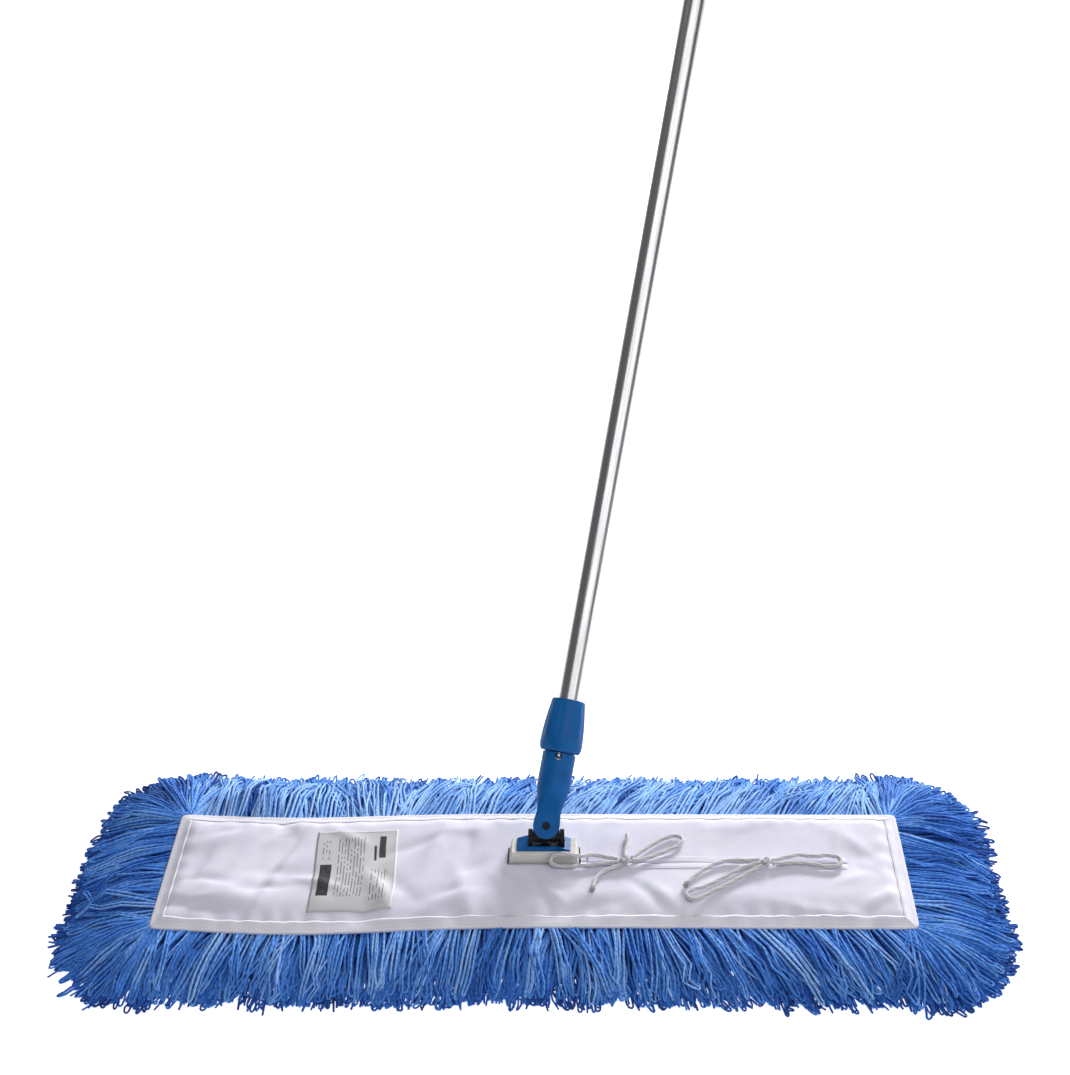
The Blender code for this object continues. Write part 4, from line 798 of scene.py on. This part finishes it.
def fringe_strand(s, layer, way_shift=0.0, single=False, corner=None):
    """One strand: out, round its tip and back, or only out for a cut end."""
    x0, y0, way, before, after = root_and_way(s)
    if corner is not None:
        x0, y0, way = corner
    share = layer / 4.0  # 0 lies on the floor, 1 on top
    ends = way in (0.0, 180.0)
    lean = 17.0 * slow(s, 3 + layer * 0.35, 0.19) + 12.0 * slow(s, 9 + layer, 0.05) + yarn_rng.normal(0, 6.0)
    if corner is None:  # how the fringe was combed: to the right along most of both long sides
        lean += {-90.0: 27.0 * float(soft_step((x0 + 0.05) / 0.25)) - 4.0,
                 90.0: 4.0 - 32.0 * float(soft_step((x0 + 0.22) / 0.22)), 0.0: -6.0, 180.0: 8.0}[way]
    clump = (0.028 if ends else 0.019) + 0.005 * slow(s, 21 + layer, 0.3)
    middle = (math.floor(s / clump) + 0.5 + 0.25 * math.sin(math.floor(s / clump) * 7.1 + layer)) * clump
    pull = np.clip(middle - s, -0.012, 0.012) * yarn_rng.uniform(0.1, 0.5 if ends else 0.9)
    if corner is None and not ends:  # near the corners the long sides begin to fan out
        for distance, sign in ((before, -1), (after, 1)):
            turn = sign * (-1 if way > 0 else 1)
            lean += turn * 24.0 * math.exp(-distance / 0.045) * (1 if way < 0 else 1)
    angle = math.radians(way + way_shift + lean)
    out = np.array([math.cos(angle), math.sin(angle)])
    side = np.array([-out[1], out[0]])
    reach = (0.113 if ends or corner else 0.102) + (0.0035 if ends or corner else 0.004)
    reach *= (yarn_rng.uniform(0.92 if ends or corner else 0.85, 1.0)
              * (0.93 + 0.07 * slow(s, 31, 0.06)) * (1.0 - 0.10 * share))
    if yarn_rng.random() < 0.05:
        reach *= yarn_rng.uniform(0.70, 0.85)
    reach /= max(0.86, abs(math.cos(math.radians(lean)))) if corner is None else 1.0
    reach = min(reach, 0.118)
    bow = 0.0
    if corner is None and way == -90.0:
        bow = float(bowed(x0, -DEEP)) + DEEP
    if corner is None and way == 90.0:
        bow = float(bowed(x0, DEEP)) - DEEP
    root_z = (4.0 + 19.6 * share + yarn_rng.uniform(-1.2, 1.2)) * mm
    tip_z = (2.2 + 6.0 * share * yarn_rng.random() + 1.2 * yarn_rng.random()) * mm
    bulge = (1.0 + 3.6 * share * yarn_rng.uniform(0.4, 1.3)) * mm
    tuft = math.exp(-((x0 + 0.315) / 0.045) ** 2) if way == 90.0 and corner is None else 0.0
    bulge += tuft * share * yarn_rng.uniform(2, 17) * mm
    stray = yarn_rng.random() < 0.10
    steps = 8 if single else 15
    t = np.linspace(0, 1, steps)
    if not single:  # more points at the tip, so that the loop is round
        t = 0.5 + 0.5 * np.sign(2 * t - 1) * np.abs(2 * t - 1) ** 1.6
    if single:
        far, lateral = t, np.zeros(steps)
    else:
        far = np.sin(np.pi * np.clip(0.02 + 0.96 * t, 0, 1)) ** 0.72
        far = (far - far.min()) / (far.max() - far.min())
        width = yarn_rng.uniform(0.0030, 0.0068)
        lateral = width * 0.5 * np.tanh((t - 0.5) * 13.0)
    wave = yarn_rng.uniform(0.7, 3.2) * mm * (2.0 if stray else 1.0)
    beat, phase = yarn_rng.uniform(1.2, 3.4), yarn_rng.uniform(0, 6.28, 3)
    lateral = lateral + pull * far ** 1.3 + wave * np.sin(2 * np.pi * beat * far + phase[0]) * far
    lateral = lateral + (yarn_rng.normal(0, 7 if stray else 2.5) * mm) * far ** 2
    along = reach * far
    base = np.array([x0, y0 + bow * 0.9])
    if share > 0.7:  # the top layers show right from the tape's edge
        base = base + 2.5 * mm * out
        along = along * 0.98
    keep = np.clip(1 - far, 0, 1)
    flat = base + out * along[:, None] + side * lateral[:, None]
    if bow:
        flat[:, 1] -= bow * 0.9 * (1 - keep) * 0.7
    z = root_z + (tip_z - root_z) * far ** 1.5 + bulge * np.sin(np.pi * np.clip(far, 0, 1) ** 0.8)
    z = z + wave * 0.5 * np.sin(2 * np.pi * beat * far + phase[1]) * far
    if stray:
        z = z + yarn_rng.uniform(0, 5) * mm * share * np.sin(np.pi * far * 0.7)
    z = np.maximum(z, 1.6 * mm)
    z[0] = z[0] if share > 0.7 else min(z[0], 22.0 * mm)
    points = np.column_stack([flat, z])
    points[:, 0] = np.clip(points[:, 0], -0.521, 0.521)
    points[:, 1] = np.clip(points[:, 1], -0.201, 0.201)
    thick = yarn_rng.uniform(1.12, 1.5) * mm * (1.0 - 0.12 * far)
    # a random dye lot, plus painted light: upper layers lighter, the back fringe lighter, the ends and
    # corners darker
    dye_and_painted_light = ((-0.10 if ends or corner else 0.0) + yarn_rng.normal(0.0, 0.12) + 0.16 * (share - 0.5)
            + (0.20 if way == 90.0 and corner is None else 0.0))
    # painted shade: lower layers darker, and the first seventh of every lower strand darker still
    depth_shade = (1 - share) * 0.72 + (share < 0.7) * np.clip(0.14 - far, 0, 1) * 2.5
    return {"points": points, "thick": thick, "dye_and_painted_light": dye_and_painted_light, "depth_shade": np.clip(depth_shade, 0, 1)}


fringe_lines = {"front": [], "back": [], "left": [], "right": []}
SIDE_NAMES = {-90.0: "front", 0.0: "right", 90.0: "back", 180.0: "left"}
pitch = 6.4 * mm
for layer in range(5):
    for k in range(int(PATH / pitch)):
        s = (k + yarn_rng.uniform(-0.4, 0.4) + 0.2 * layer) * pitch
        side_name = SIDE_NAMES[root_and_way(s)[2]]
        fringe_lines[side_name].append(fringe_strand(s, layer))
        singles = 2 if layer < 3 else int(yarn_rng.random() < 0.35)
        for extra in range(singles):
            beside = s + pitch * (0.3 + 0.4 * extra)
            fringe_lines[side_name].append(fringe_strand(beside, layer, single=True))
    # at the corners the strands share almost one root and fan through a right angle
    for cx, cy, start in ((1, -1, -90), (1, 1, 0), (-1, 1, 90), (-1, -1, 180)):
        for k in range(30):
            turn = start + 90 * (k + yarn_rng.uniform(-0.4, 0.6)) / 30
            inner = math.radians(turn)
            root = (cx * (ROOT_X - 6 * mm) + 7 * mm * math.cos(inner),
                    cy * (ROOT_Y - 6 * mm) + 7 * mm * math.sin(inner))
            near_long = abs(math.sin(inner)) > 0.7071
            name = ("front" if cy < 0 else "back") if near_long else ("left" if cx < 0 else "right")
            spot = (root[0], root[1], float(turn))
            fringe_lines[name].append(fringe_strand(cx * 3.1 + cy * 1.7 + turn * 0.002, layer, corner=spot))
for side_name, lines in fringe_lines.items():
    made = spin(f"yarn_{side_name}", lines, YARN)
    seat(made, "mop_head", "blue_yarn", f"fringe_{side_name}")
    print(len(lines), "strands in", made.name)

# %% [markdown]
# Underneath, the whole sole is yarn too: rows of strands sewn along the middle
# and combed outwards over a dense bed. The bed is a low rounded pillow that also
# closes the gaps between the fringe's strands, so that no floor shows through.
# Both carry painted shade: the bed is drawn as dark as the deepest strands, and
# the sole's strands a little darker than the fringe's top.


# %% Yarn bed and sole
def yarn_bed():
    """A dense cushion of yarn: a rounded slab out under the fringe, uneven on top."""
    nx, ny = 120, 44
    x = np.linspace(-1, 1, nx)
    y = np.linspace(-1, 1, ny)
    gx, gy = np.meshgrid(x, y)
    wide = np.sign(gx) * (1 - (1 - np.abs(gx)) ** 1.35) * 0.452
    deep = np.sign(gy) * (1 - (1 - np.abs(gy)) ** 1.35) * 0.138
    ragged = 0.006 * np.sin(wide * 95 + 2 * np.sin(deep * 60)) + 0.004 * np.sin(wide * 210)
    deep = deep * (1 + ragged / 0.152 * np.abs(gy))
    out = np.maximum((np.abs(wide) - 0.388) / 0.064, (np.abs(deep) - 0.078) / 0.060)
    out = np.clip(out, 0, 1)
    top = (17.8 * (1 - out) ** 2.2 + 3.2) * mm
    top = top + 0.6 * mm * np.sin(wide * 310) * (out > 0)
    low = np.full_like(top, 2.6 * mm)
    points = np.concatenate(
        [np.column_stack([wide.ravel(), deep.ravel(), level.ravel()]) for level in (top, low)])
    size = nx * ny
    faces = grid_faces(ny, nx) + [tuple(reversed(f)) for f in grid_faces(ny, nx, first=size)]
    rim = list(range(nx)) + [j * nx + nx - 1 for j in range(1, ny)]
    rim += list(range(size - 2, size - nx - 1, -1)) + [j * nx for j in range(ny - 2, 0, -1)]
    faces += [(a, b, b + size, a + size) for a, b in zip(rim, rim[1:] + rim[:1])]
    made = outward(piece("yarn_bed", points, faces, YARN))
    # painted shade: the bed is drawn as dark as the deepest strands of the fringe
    for key, value in (("dye_and_painted_light", -0.10), ("depth_shade", 0.95), ("along", 0.0)):
        layer = made.data.attributes.new(key, "FLOAT", "POINT")
        layer.data.foreach_set("value", np.full(len(made.data.vertices), value, np.float32))
    return made


seat(yarn_bed(), "mop_head", "blue_yarn", "yarn_pad")
sole_lines = []
for row in range(2):
    for side in (-1, 1):
        for k in range(150):
            x = -0.395 + 0.79 * (k + yarn_rng.uniform(-0.35, 0.35)) / 149
            start = side * (0.002 + 0.045 * row)
            reach = 0.085 + 0.012 * yarn_rng.random()
            t = np.linspace(0, 1, 9)
            sway = 3 * mm * np.sin(2 * np.pi * (1.3 * t + yarn_rng.random())) * t
            drift = 9 * mm * slow(x, 4 + row, 0.12) * t
            z = (2.9 - 0.9 * row + 0.7 * np.sin(np.pi * t) + 0.4 * yarn_rng.random()) * mm
            z = np.maximum(z, 1.55 * mm)
            y = start + side * reach * t
            # painted shade: the sole's strands are drawn a little darker
            sole_lines.append({
                "points": np.column_stack([x + sway + drift, y, z]), "thick": 1.4 * mm,
                "dye_and_painted_light": yarn_rng.normal(0, 0.08), "depth_shade": 0.25})
seat(spin("yarn_sole", sole_lines, YARN), "mop_head", "blue_yarn", "yarn_pad")

# %% [markdown]
# The ties are soft three-strand cotton cord, 4 mm thick, in two bows that close
# the slit, with their ends knotted so they don't fray. A twisted cord is a
# three-lobed section turned as it travels, so the strands are real shape. Each
# follows the same smooth route as its CAD solid.


# %% Cord finish
def cotton_cord():
    material, tree, shader = finish("twisted_cotton_cord_undyed", "#e6e2e0", 0.9)
    place = add(tree, "ShaderNodeTexCoord").outputs["Object"]
    fibre = add(tree, "ShaderNodeTexNoise", {"Vector": place, "Scale": 700.0, "Detail": 2.0}).outputs["Fac"]
    valley_shade = add(tree, "ShaderNodeAttribute", attribute_name="valley_shade").outputs["Fac"]
    knot_darkening = add(tree, "ShaderNodeAttribute", attribute_name="darkening").outputs["Fac"]
    level = add(tree, "ShaderNodeMath", {0: fibre, 1: 0.5, 2: 0.35}, operation="MULTIPLY_ADD").outputs[0]
    # painted shade: the grooves between the cord's strands are drawn darker
    level = add(tree, "ShaderNodeMath", {0: valley_shade, 1: -0.26, 2: level}, operation="MULTIPLY_ADD").outputs[0]
    # the knots at the tails' tips are drawn darker
    level = add(tree, "ShaderNodeMath", {0: knot_darkening, 1: -0.5, 2: level}, operation="MULTIPLY_ADD").outputs[0]
    shade = ramp(tree, level, ((0.0, "#8f8b90"), (0.35, "#b9b5ba"), (0.7, "#e0dde0")))
    tree.links.new(shade, shader.inputs["Base Color"])
    shader.inputs["Sheen Weight"].default_value = 0.3
    shader.inputs["Specular IOR Level"].default_value = 0.2
    roughen(tree, shader, fibre, 0.3 * mm, 0.7)
    return material


CORD = cotton_cord()
CORD_D = 4.0 * mm
LIE = 37.7 * mm  # height of a cord's middle where it lies on the hems


def smooth_route(points, spacing):
    """Points every spacing along a Catmull-Rom curve through the route's points."""
    route = [Vector(p) for p in points]
    ends = [2 * route[0] - route[1], *route, 2 * route[-1] - route[-2]]
    fine = []
    for a, b, c, d in zip(ends, ends[1:], ends[2:], ends[3:]):
        for i in range(24):
            t = i / 24
            fine.append(0.5 * (2 * b + (c - a) * t + (2 * a - 5 * b + 4 * c - d) * t * t
                               + (3 * b - a - 3 * c + d) * t ** 3))
    fine.append(route[-1])
    length = sum((q - p).length for p, q in zip(fine, fine[1:]))
    count = max(2, round(length / spacing))
    kept, walked, target = [fine[0]], 0.0, length / count
    for p, q in zip(fine, fine[1:]):
        step = (q - p).length
        while walked + step >= target - 1e-9 and len(kept) < count:
            kept.append(p.lerp(q, min(1.0, (target - walked) / max(step, 1e-9))))
            target += length / count
        walked += step
    kept.append(fine[-1])
    return kept, length


def twisted(name, path, radius, closed=False, lobes=3, pitch=15 * mm, sides=12, darkening=0.0):
    """A cord of twisted strands along the path, or a closed ring of it."""
    points, valleys, walked, normal = [], [], 0.0, None
    count = len(path)
    for i, p in enumerate(path):
        ahead_p = path[(i + 1) % count] if closed else path[min(i + 1, count - 1)]
        behind = path[i - 1] if closed or i else path[0]
        way = (ahead_p - behind).normalized()
        if normal is None:
            normal = way.cross(Vector((0.1, 0.2, 1.0))).normalized()
        normal = (normal - way * normal.dot(way)).normalized()
        other = way.cross(normal)
        turn = 2 * math.pi * walked / pitch
        for k in range(sides):
            angle = 2 * math.pi * k / sides
            lobe = math.cos(lobes * angle - turn)
            r = radius * (1.09 + 0.07 * lobe)
            points.append(p + normal * (r * math.cos(angle)) + other * (r * math.sin(angle)))
            valleys.append(max(0.0, -lobe))
        walked += (ahead_p - p).length
    faces = grid_faces(count, sides, wrap=True)
    if closed:
        last = (count - 1) * sides
        faces += [(last + k, last + (k + 1) % sides, (k + 1) % sides, k) for k in range(sides)]
    else:
        faces += [tuple(range(sides)), tuple(range((count - 1) * sides, count * sides))]
    made = outward(piece(name, points, faces, CORD))
    # painted shade for the grooves between the cord's strands
    made.data.attributes.new("valley_shade", "FLOAT", "POINT").data.foreach_set(
        "value", np.array(valleys, np.float32))
    # how much darker the piece is drawn: the tails' tip knots are darker
    made.data.attributes.new("darkening", "FLOAT", "POINT").data.foreach_set(
        "value", np.full(len(points), darkening, np.float32))
    return made


TIES = {
    "near_loop_left": (
        (0.0915, -0.0015, 0.0020), (0.0770, 0.0040, 0.0008), (0.0640, 0.0050, 0.0028),
        (0.0555, 0.0000, 0.0062), (0.0480, -0.0048, 0.0095), (0.0385, -0.0050, 0.0118),
        (0.0290, -0.0048, 0.0125), (0.0205, -0.0050, 0.0095), (0.0180, -0.0075, 0.0045),
        (0.0230, -0.0105, 0.0010), (0.0350, -0.0108, 0.0000), (0.0500, -0.0100, 0.0000),
        (0.0680, -0.0078, 0.0004), (0.0830, -0.0062, 0.0012), (0.0918, -0.0052, 0.0020)),
    "near_loop_right": (
        (0.1052, 0.0005, 0.0022), (0.1160, 0.0130, 0.0008), (0.1300, 0.0270, 0.0000),
        (0.1450, 0.0375, 0.0000), (0.1560, 0.0400, 0.0000), (0.1610, 0.0340, 0.0000),
        (0.1570, 0.0250, 0.0000), (0.1450, 0.0160, 0.0000), (0.1300, 0.0070, 0.0004),
        (0.1160, -0.0005, 0.0012), (0.1056, -0.0042, 0.0022)),
    "near_tail_front": (
        (0.0945, -0.0086, 0.0016), (0.0860, -0.0130, 0.0004), (0.0760, -0.0180, 0.0000),
        (0.0690, -0.0260, 0.0000), (0.0650, -0.0350, 0.0000), (0.0635, -0.0430, 0.0000)),
    "near_tail_back": (
        (0.0990, 0.0032, 0.0020), (0.0985, 0.0110, 0.0006), (0.1000, 0.0210, 0.0000),
        (0.1015, 0.0310, 0.0000), (0.1010, 0.0420, 0.0000)),
    "far_loop_right": (
        (0.2558, -0.0030, 0.0020), (0.2700, 0.0040, 0.0006), (0.2850, 0.0090, 0.0000),
        (0.3000, 0.0072, 0.0000), (0.3150, 0.0085, 0.0000), (0.3265, 0.0060, 0.0000),
        (0.3300, -0.0015, 0.0000), (0.3250, -0.0080, 0.0000), (0.3130, -0.0090, 0.0000),
        (0.2980, -0.0055, 0.0000), (0.2830, -0.0035, 0.0002), (0.2680, -0.0050, 0.0008),
        (0.2560, -0.0076, 0.0020)),
    "far_loop_left": (
        (0.2430, -0.0065, 0.0020), (0.2280, -0.0100, 0.0006), (0.2120, -0.0200, 0.0000),
        (0.1950, -0.0330, 0.0000), (0.1790, -0.0430, 0.0000), (0.1680, -0.0470, 0.0000),
        (0.1620, -0.0530, 0.0000), (0.1650, -0.0600, 0.0000), (0.1740, -0.0600, 0.0000),
        (0.1870, -0.0510, 0.0000), (0.2050, -0.0390, 0.0000), (0.2220, -0.0260, 0.0004),
        (0.2350, -0.0165, 0.0012), (0.2445, -0.0105, 0.0020)),
    "far_tail_left": (
        (0.2425, -0.0018, 0.0020), (0.2280, -0.0008, 0.0006), (0.2130, 0.0000, 0.0000),
        (0.1990, -0.0040, 0.0000), (0.1850, -0.0130, 0.0000), (0.1730, -0.0240, 0.0000),
        (0.1640, -0.0360, 0.0000)),
}
TIP_KNOTS = {"near_tail_front": "near_tip_knot", "far_tail_left": "far_tip_knot"}
print("cord routes:", len(TIES))

# %% [markdown]
# A knot is the same cord wound on itself. A trefoil, the simplest knot that can't
# be undone, squeezed into the CAD knot's size, reads at once as a pulled knot.


# %% Knots and ties
def wound_knot(name, centre, half, radius, turn=0.0, darkening=0.0):
    scale = [(half[0] - radius) / 2.75, (half[1] - radius) / 2.75, half[2] - radius]
    ring = []
    for k in range(84):
        t = 2 * math.pi * k / 84
        x, y = math.sin(t) + 2 * math.sin(2 * t), math.cos(t) - 2 * math.cos(2 * t)
        local = Vector((x * scale[0], y * scale[1], -math.sin(3 * t) * scale[2]))
        ring.append(Vector(centre) + Matrix.Rotation(turn, 3, "Z") @ local)
    return twisted(name, ring, radius, closed=True, pitch=9 * mm, sides=9, darkening=darkening)


for name, (x, y) in {"bow_knot_near": (0.0985, -0.0030), "bow_knot_far": (0.2490, -0.0045)}.items():
    knot = wound_knot(name + "_wound", (x, y, 35.7 * mm + 4.2 * mm),
                      (6.4 * mm, 5.2 * mm, 4.2 * mm), 2.0 * mm, 0.5)
    seat(knot, "mop_head", "cotton_cord", name)

for name, route in TIES.items():
    path, length = smooth_route([(x, y, LIE + rise) for x, y, rise in route], 1.3 * mm)
    tie = seat(twisted(name + "_cord", path, CORD_D / 2), "mop_head", "cotton_cord", name)
    attached, end = [], "object" if "loop" in name else "bare"
    if name in TIP_KNOTS:
        out = (path[-1] - path[-3]).normalized()
        spot = path[-1] + out * (3.3 * mm)
        tip = wound_knot(TIP_KNOTS[name] + "_wound", spot,
                         (3.2 * mm, 3.2 * mm, 2.7 * mm), 1.25 * mm, 0.9, 0.7)
        attached, end = [seat(tip, "mop_head", "cotton_cord", TIP_KNOTS[name])], "knot"
    print(f"{name}: {length * 1000:.0f} mm of cord")

# %% [markdown]
# The handle leans back 40 degrees and right 10 degrees. Everything on it is made
# upright, with its axis on Z and the swing axis at the origin, and one matrix
# lays it along the handle. The same matrix, inverted, turns the brushed grain of
# the aluminium, because a material only knows the object's own coordinates.

# %% Handle frame
TILT_BACK, SWING_RIGHT = math.radians(40.0), math.radians(10.2)
handle_turn = Matrix.Rotation(-TILT_BACK, 4, "X") @ Matrix.Rotation(SWING_RIGHT, 4, "Y")
SWING_POINT = Vector((0.0135, 0.015785, 0.0711944))
HANDLE = Matrix.Translation(SWING_POINT) @ handle_turn
print("handle points along", tuple(round(v, 4) for v in HANDLE.col[2].xyz))


# %% [markdown]
# Hard parts next. The socket and collar are injection-moulded nylon, dyed blue:
# a spark-eroded mould leaves a fine grain, the gloss is low, and edges that a
# hand rubs are smoother. The tube is drawn aluminium, brushed along its length
# and clear anodised, which gives a soft streak of light instead of a mirror.

# %% Plastic and metal finishes
def moulded(name, colour, dark, light, roughness=0.38, grain=0.05):
    """Moulded plastic: mould grain, faint flow marks, and a slight change of tint."""
    material, tree, shader = finish(name, colour, roughness)
    place = add(tree, "ShaderNodeTexCoord").outputs["Object"]
    # mould grain about 0.4 mm across, drawn at 0.9 mm so that it shows
    pits = add(tree, "ShaderNodeTexNoise", {"Vector": place, "Scale": 1100.0, "Detail": 2.0}).outputs["Fac"]
    flow = add(tree, "ShaderNodeTexNoise", {"Vector": place, "Scale": 60.0, "Detail": 3.0}).outputs["Fac"]
    shade = ramp(tree, flow, ((0.30, dark), (0.52, colour), (0.72, light)))
    tree.links.new(shade, shader.inputs["Base Color"])
    gloss = add(tree, "ShaderNodeMapRange", {"Value": flow, "From Min": 0.3, "From Max": 0.7,
                                             "To Min": roughness - 0.07, "To Max": roughness + 0.10})
    tree.links.new(gloss.outputs["Result"], shader.inputs["Roughness"])
    shader.inputs["IOR"].default_value = 1.53
    shader.inputs["Specular IOR Level"].default_value = 0.2
    roughen(tree, shader, pits, grain * mm, 0.5)
    return material


def metal(name, colour, dark, roughness, streak=(1.0, 1.0, 1.0), grain=0.03, turn=None):
    """Bare or plated metal: fine streaks, or spangle where the streak is even."""
    material, tree, shader = finish(name, colour, roughness, 1.0)
    place = add(tree, "ShaderNodeTexCoord").outputs["Object"]
    if turn is not None:
        place = add(tree, "ShaderNodeMapping", {"Vector": place, "Rotation": turn}).outputs[0]
    place = add(tree, "ShaderNodeMapping", {"Vector": place, "Scale": streak}).outputs[0]
    marks = add(tree, "ShaderNodeTexNoise", {"Vector": place, "Scale": 1.0, "Detail": 3.0}).outputs["Fac"]
    shade = ramp(tree, marks, ((0.30, dark), (0.65, colour)))
    tree.links.new(shade, shader.inputs["Base Color"])
    gloss = add(tree, "ShaderNodeMapRange", {"Value": marks, "From Min": 0.3, "From Max": 0.7,
                                             "To Min": roughness + 0.08, "To Max": roughness - 0.05})
    tree.links.new(gloss.outputs["Result"], shader.inputs["Roughness"])
    roughen(tree, shader, marks, grain * mm, 0.4)
    return material


grain_turn = handle_turn.to_3x3().transposed().to_euler()
BLUE_NYLON = moulded("nylon_moulded_dyed_blue", "#00589c", "#005190", "#025fa6", 0.46)
COLLAR_NYLON = moulded("nylon_moulded_dyed_blue_grained", "#00599b", "#005290", "#0260a4", 0.48, 0.06)
BLACK_NYLON = moulded("nylon_moulded_carbon_black", "#17181b", "#0e0f11", "#222429", 0.40)
NATURAL = moulded("acetal_moulded_natural", "#d8d8d0", "#cfcfc6", "#e2e2dc", 0.36)
ALUMINIUM = metal("aluminium_drawn_brushed_anodised", "#d6d6d8", "#c0c0c2", 0.25, (700, 700, 14), 0.02,
                  tuple(grain_turn))
ZINC = metal("steel_zinc_plated", "#b9bcc2", "#94979e", 0.34, (160, 160, 160), 0.04)
GREY_STEEL = metal("steel_pressed_painted_white", "#e6e5dd", "#d4d3cb", 0.46, (60, 260, 260), 0.05)
GREY_STEEL.node_tree.nodes["Principled BSDF"].inputs["Metallic"].default_value = 0.0
BLACKENED = metal("steel_black_oxide", "#3a3c42", "#24262a", 0.42, (300, 300, 300), 0.03)
BRIGHT = metal("stainless_steel_turned", "#c9ccd0", "#a4a7ac", 0.22, (500, 500, 500), 0.02)
for names, material in (
    (("joint_base", "handle_socket", "end_cap"), BLUE_NYLON), (("joint_yoke", "joint_knuckle"), BLACK_NYLON),
    (("collet_ring",), NATURAL), (("wire_frame", "frame_bridge"), ZINC), (("riser_channel",), GREY_STEEL),
    (("swing_screw_front", "swing_screw_rear", "tilt_pin"), BLACKENED),
    (("yoke_rivet_left", "yoke_rivet_right", "button_spring", "snap_button"), BRIGHT),
):
    for name in names:
        holder = nodes[name]
        holder.data.materials.clear()
        holder.data.materials.append(material)
print("hard finishes on the CAD's own nodes")

# %% [markdown]
# The tube and the collar are shapes of revolution, so they are lofted rings. The
# tube gets 96 sides, because its outline is long and shiny. The collar
# has a smooth rim, then ten soft flats for the fingers, and narrows to its top.


# %% Tube and collar
def revolved(name, rings, material, body, slot, node, sides=96, shape=None):
    """Rings of (radius, height) on the handle's axis, joined into a closed wall."""
    points = []
    for radius, height in rings:
        for k in range(sides):
            angle = 2 * math.pi * k / sides
            r = shape(radius, height, angle) if shape else radius
            points.append(HANDLE @ Vector((r * math.cos(angle), r * math.sin(angle), height)))
    faces = grid_faces(len(rings), sides, wrap=True)
    last = (len(rings) - 1) * sides
    faces += [(last + k, last + (k + 1) % sides, (k + 1) % sides, k) for k in range(sides)]
    made = outward(piece(name, points, faces, material))
    made.data.set_sharp_from_angle(angle=math.radians(40))
    return seat(made, body, slot, node)


low, high = 44.3 * mm, 1444.3 * mm
wall = [(12.5 * mm, low + (high - low) * k / 40) for k in range(41)]
revolved("handle_tube_brushed", wall + [(11.3 * mm, high), (11.3 * mm, low)], ALUMINIUM,
         "handle", "anodised_aluminium", "handle_tube")

COLLAR_LOW, COLLAR_LONG = 80.5 * mm, 57.0 * mm


def collar_radius(share):
    """Outside radius along the collar: small rim, full belly low down, narrow top."""
    belly = 23.2 * mm
    if share < 0.05:
        return belly - 2.4 * mm + 1.5 * mm * share / 0.05
    if share < 0.17:
        return belly - 0.9 * mm + 0.9 * mm * math.sin((share - 0.05) / 0.12 * math.pi / 2)
    return belly - 5.2 * mm * ((share - 0.17) / 0.83) ** 1.7


def finger_flats(radius, height, angle):
    share = (height - COLLAR_LOW) / COLLAR_LONG
    if radius < 17.2 * mm or not 0.0 <= share <= 0.96:
        return radius
    grip = soft_step((share - 0.22) / 0.06) * soft_step((0.93 - share) / 0.07)
    groove = math.exp(-((share - 0.205) / 0.012) ** 2) * 0.35 * mm
    wave = 0.5 - 0.5 * math.cos(14 * angle)
    return radius - 0.5 * mm * float(grip) * (1 - wave) ** 2 - groove


outer = [(collar_radius(s / 60), COLLAR_LOW + COLLAR_LONG * s / 60) for s in range(59)]
top = COLLAR_LOW + COLLAR_LONG
lip_rings = [(collar_radius(0.975) - 0.5 * mm, top - 0.5 * mm),
             (collar_radius(0.975) - 1.5 * mm, top), (13.1 * mm, top)]
inner = [(13.1 * mm, 135.5 * mm), (14.5 * mm, 135.5 * mm), (16.5 * mm, 125.0 * mm), (16.5 * mm, COLLAR_LOW)]
revolved("collar_moulded", outer + lip_rings + inner, COLLAR_NYLON, "locking_collar", "blue_plastic",
         "locking_collar", 112, finger_flats)

# %% [markdown]
# The snap button sits on a hairpin leaf spring inside the tube. One leg lies against
# the far wall and stays; the other is pushed in with the button. The CAD's rigid
# leaf can't bend, and a plain copy of it takes its place.

# %% Button spring
source = nodes["button_spring"].data
leaf = piece("button_leaf_spring", [tuple(v.co) for v in source.vertices],
             [tuple(f.vertices) for f in source.polygons], BRIGHT, smooth=False)
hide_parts("button_spring")
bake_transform(leaf)
print(leaf.name, "bends with the button")
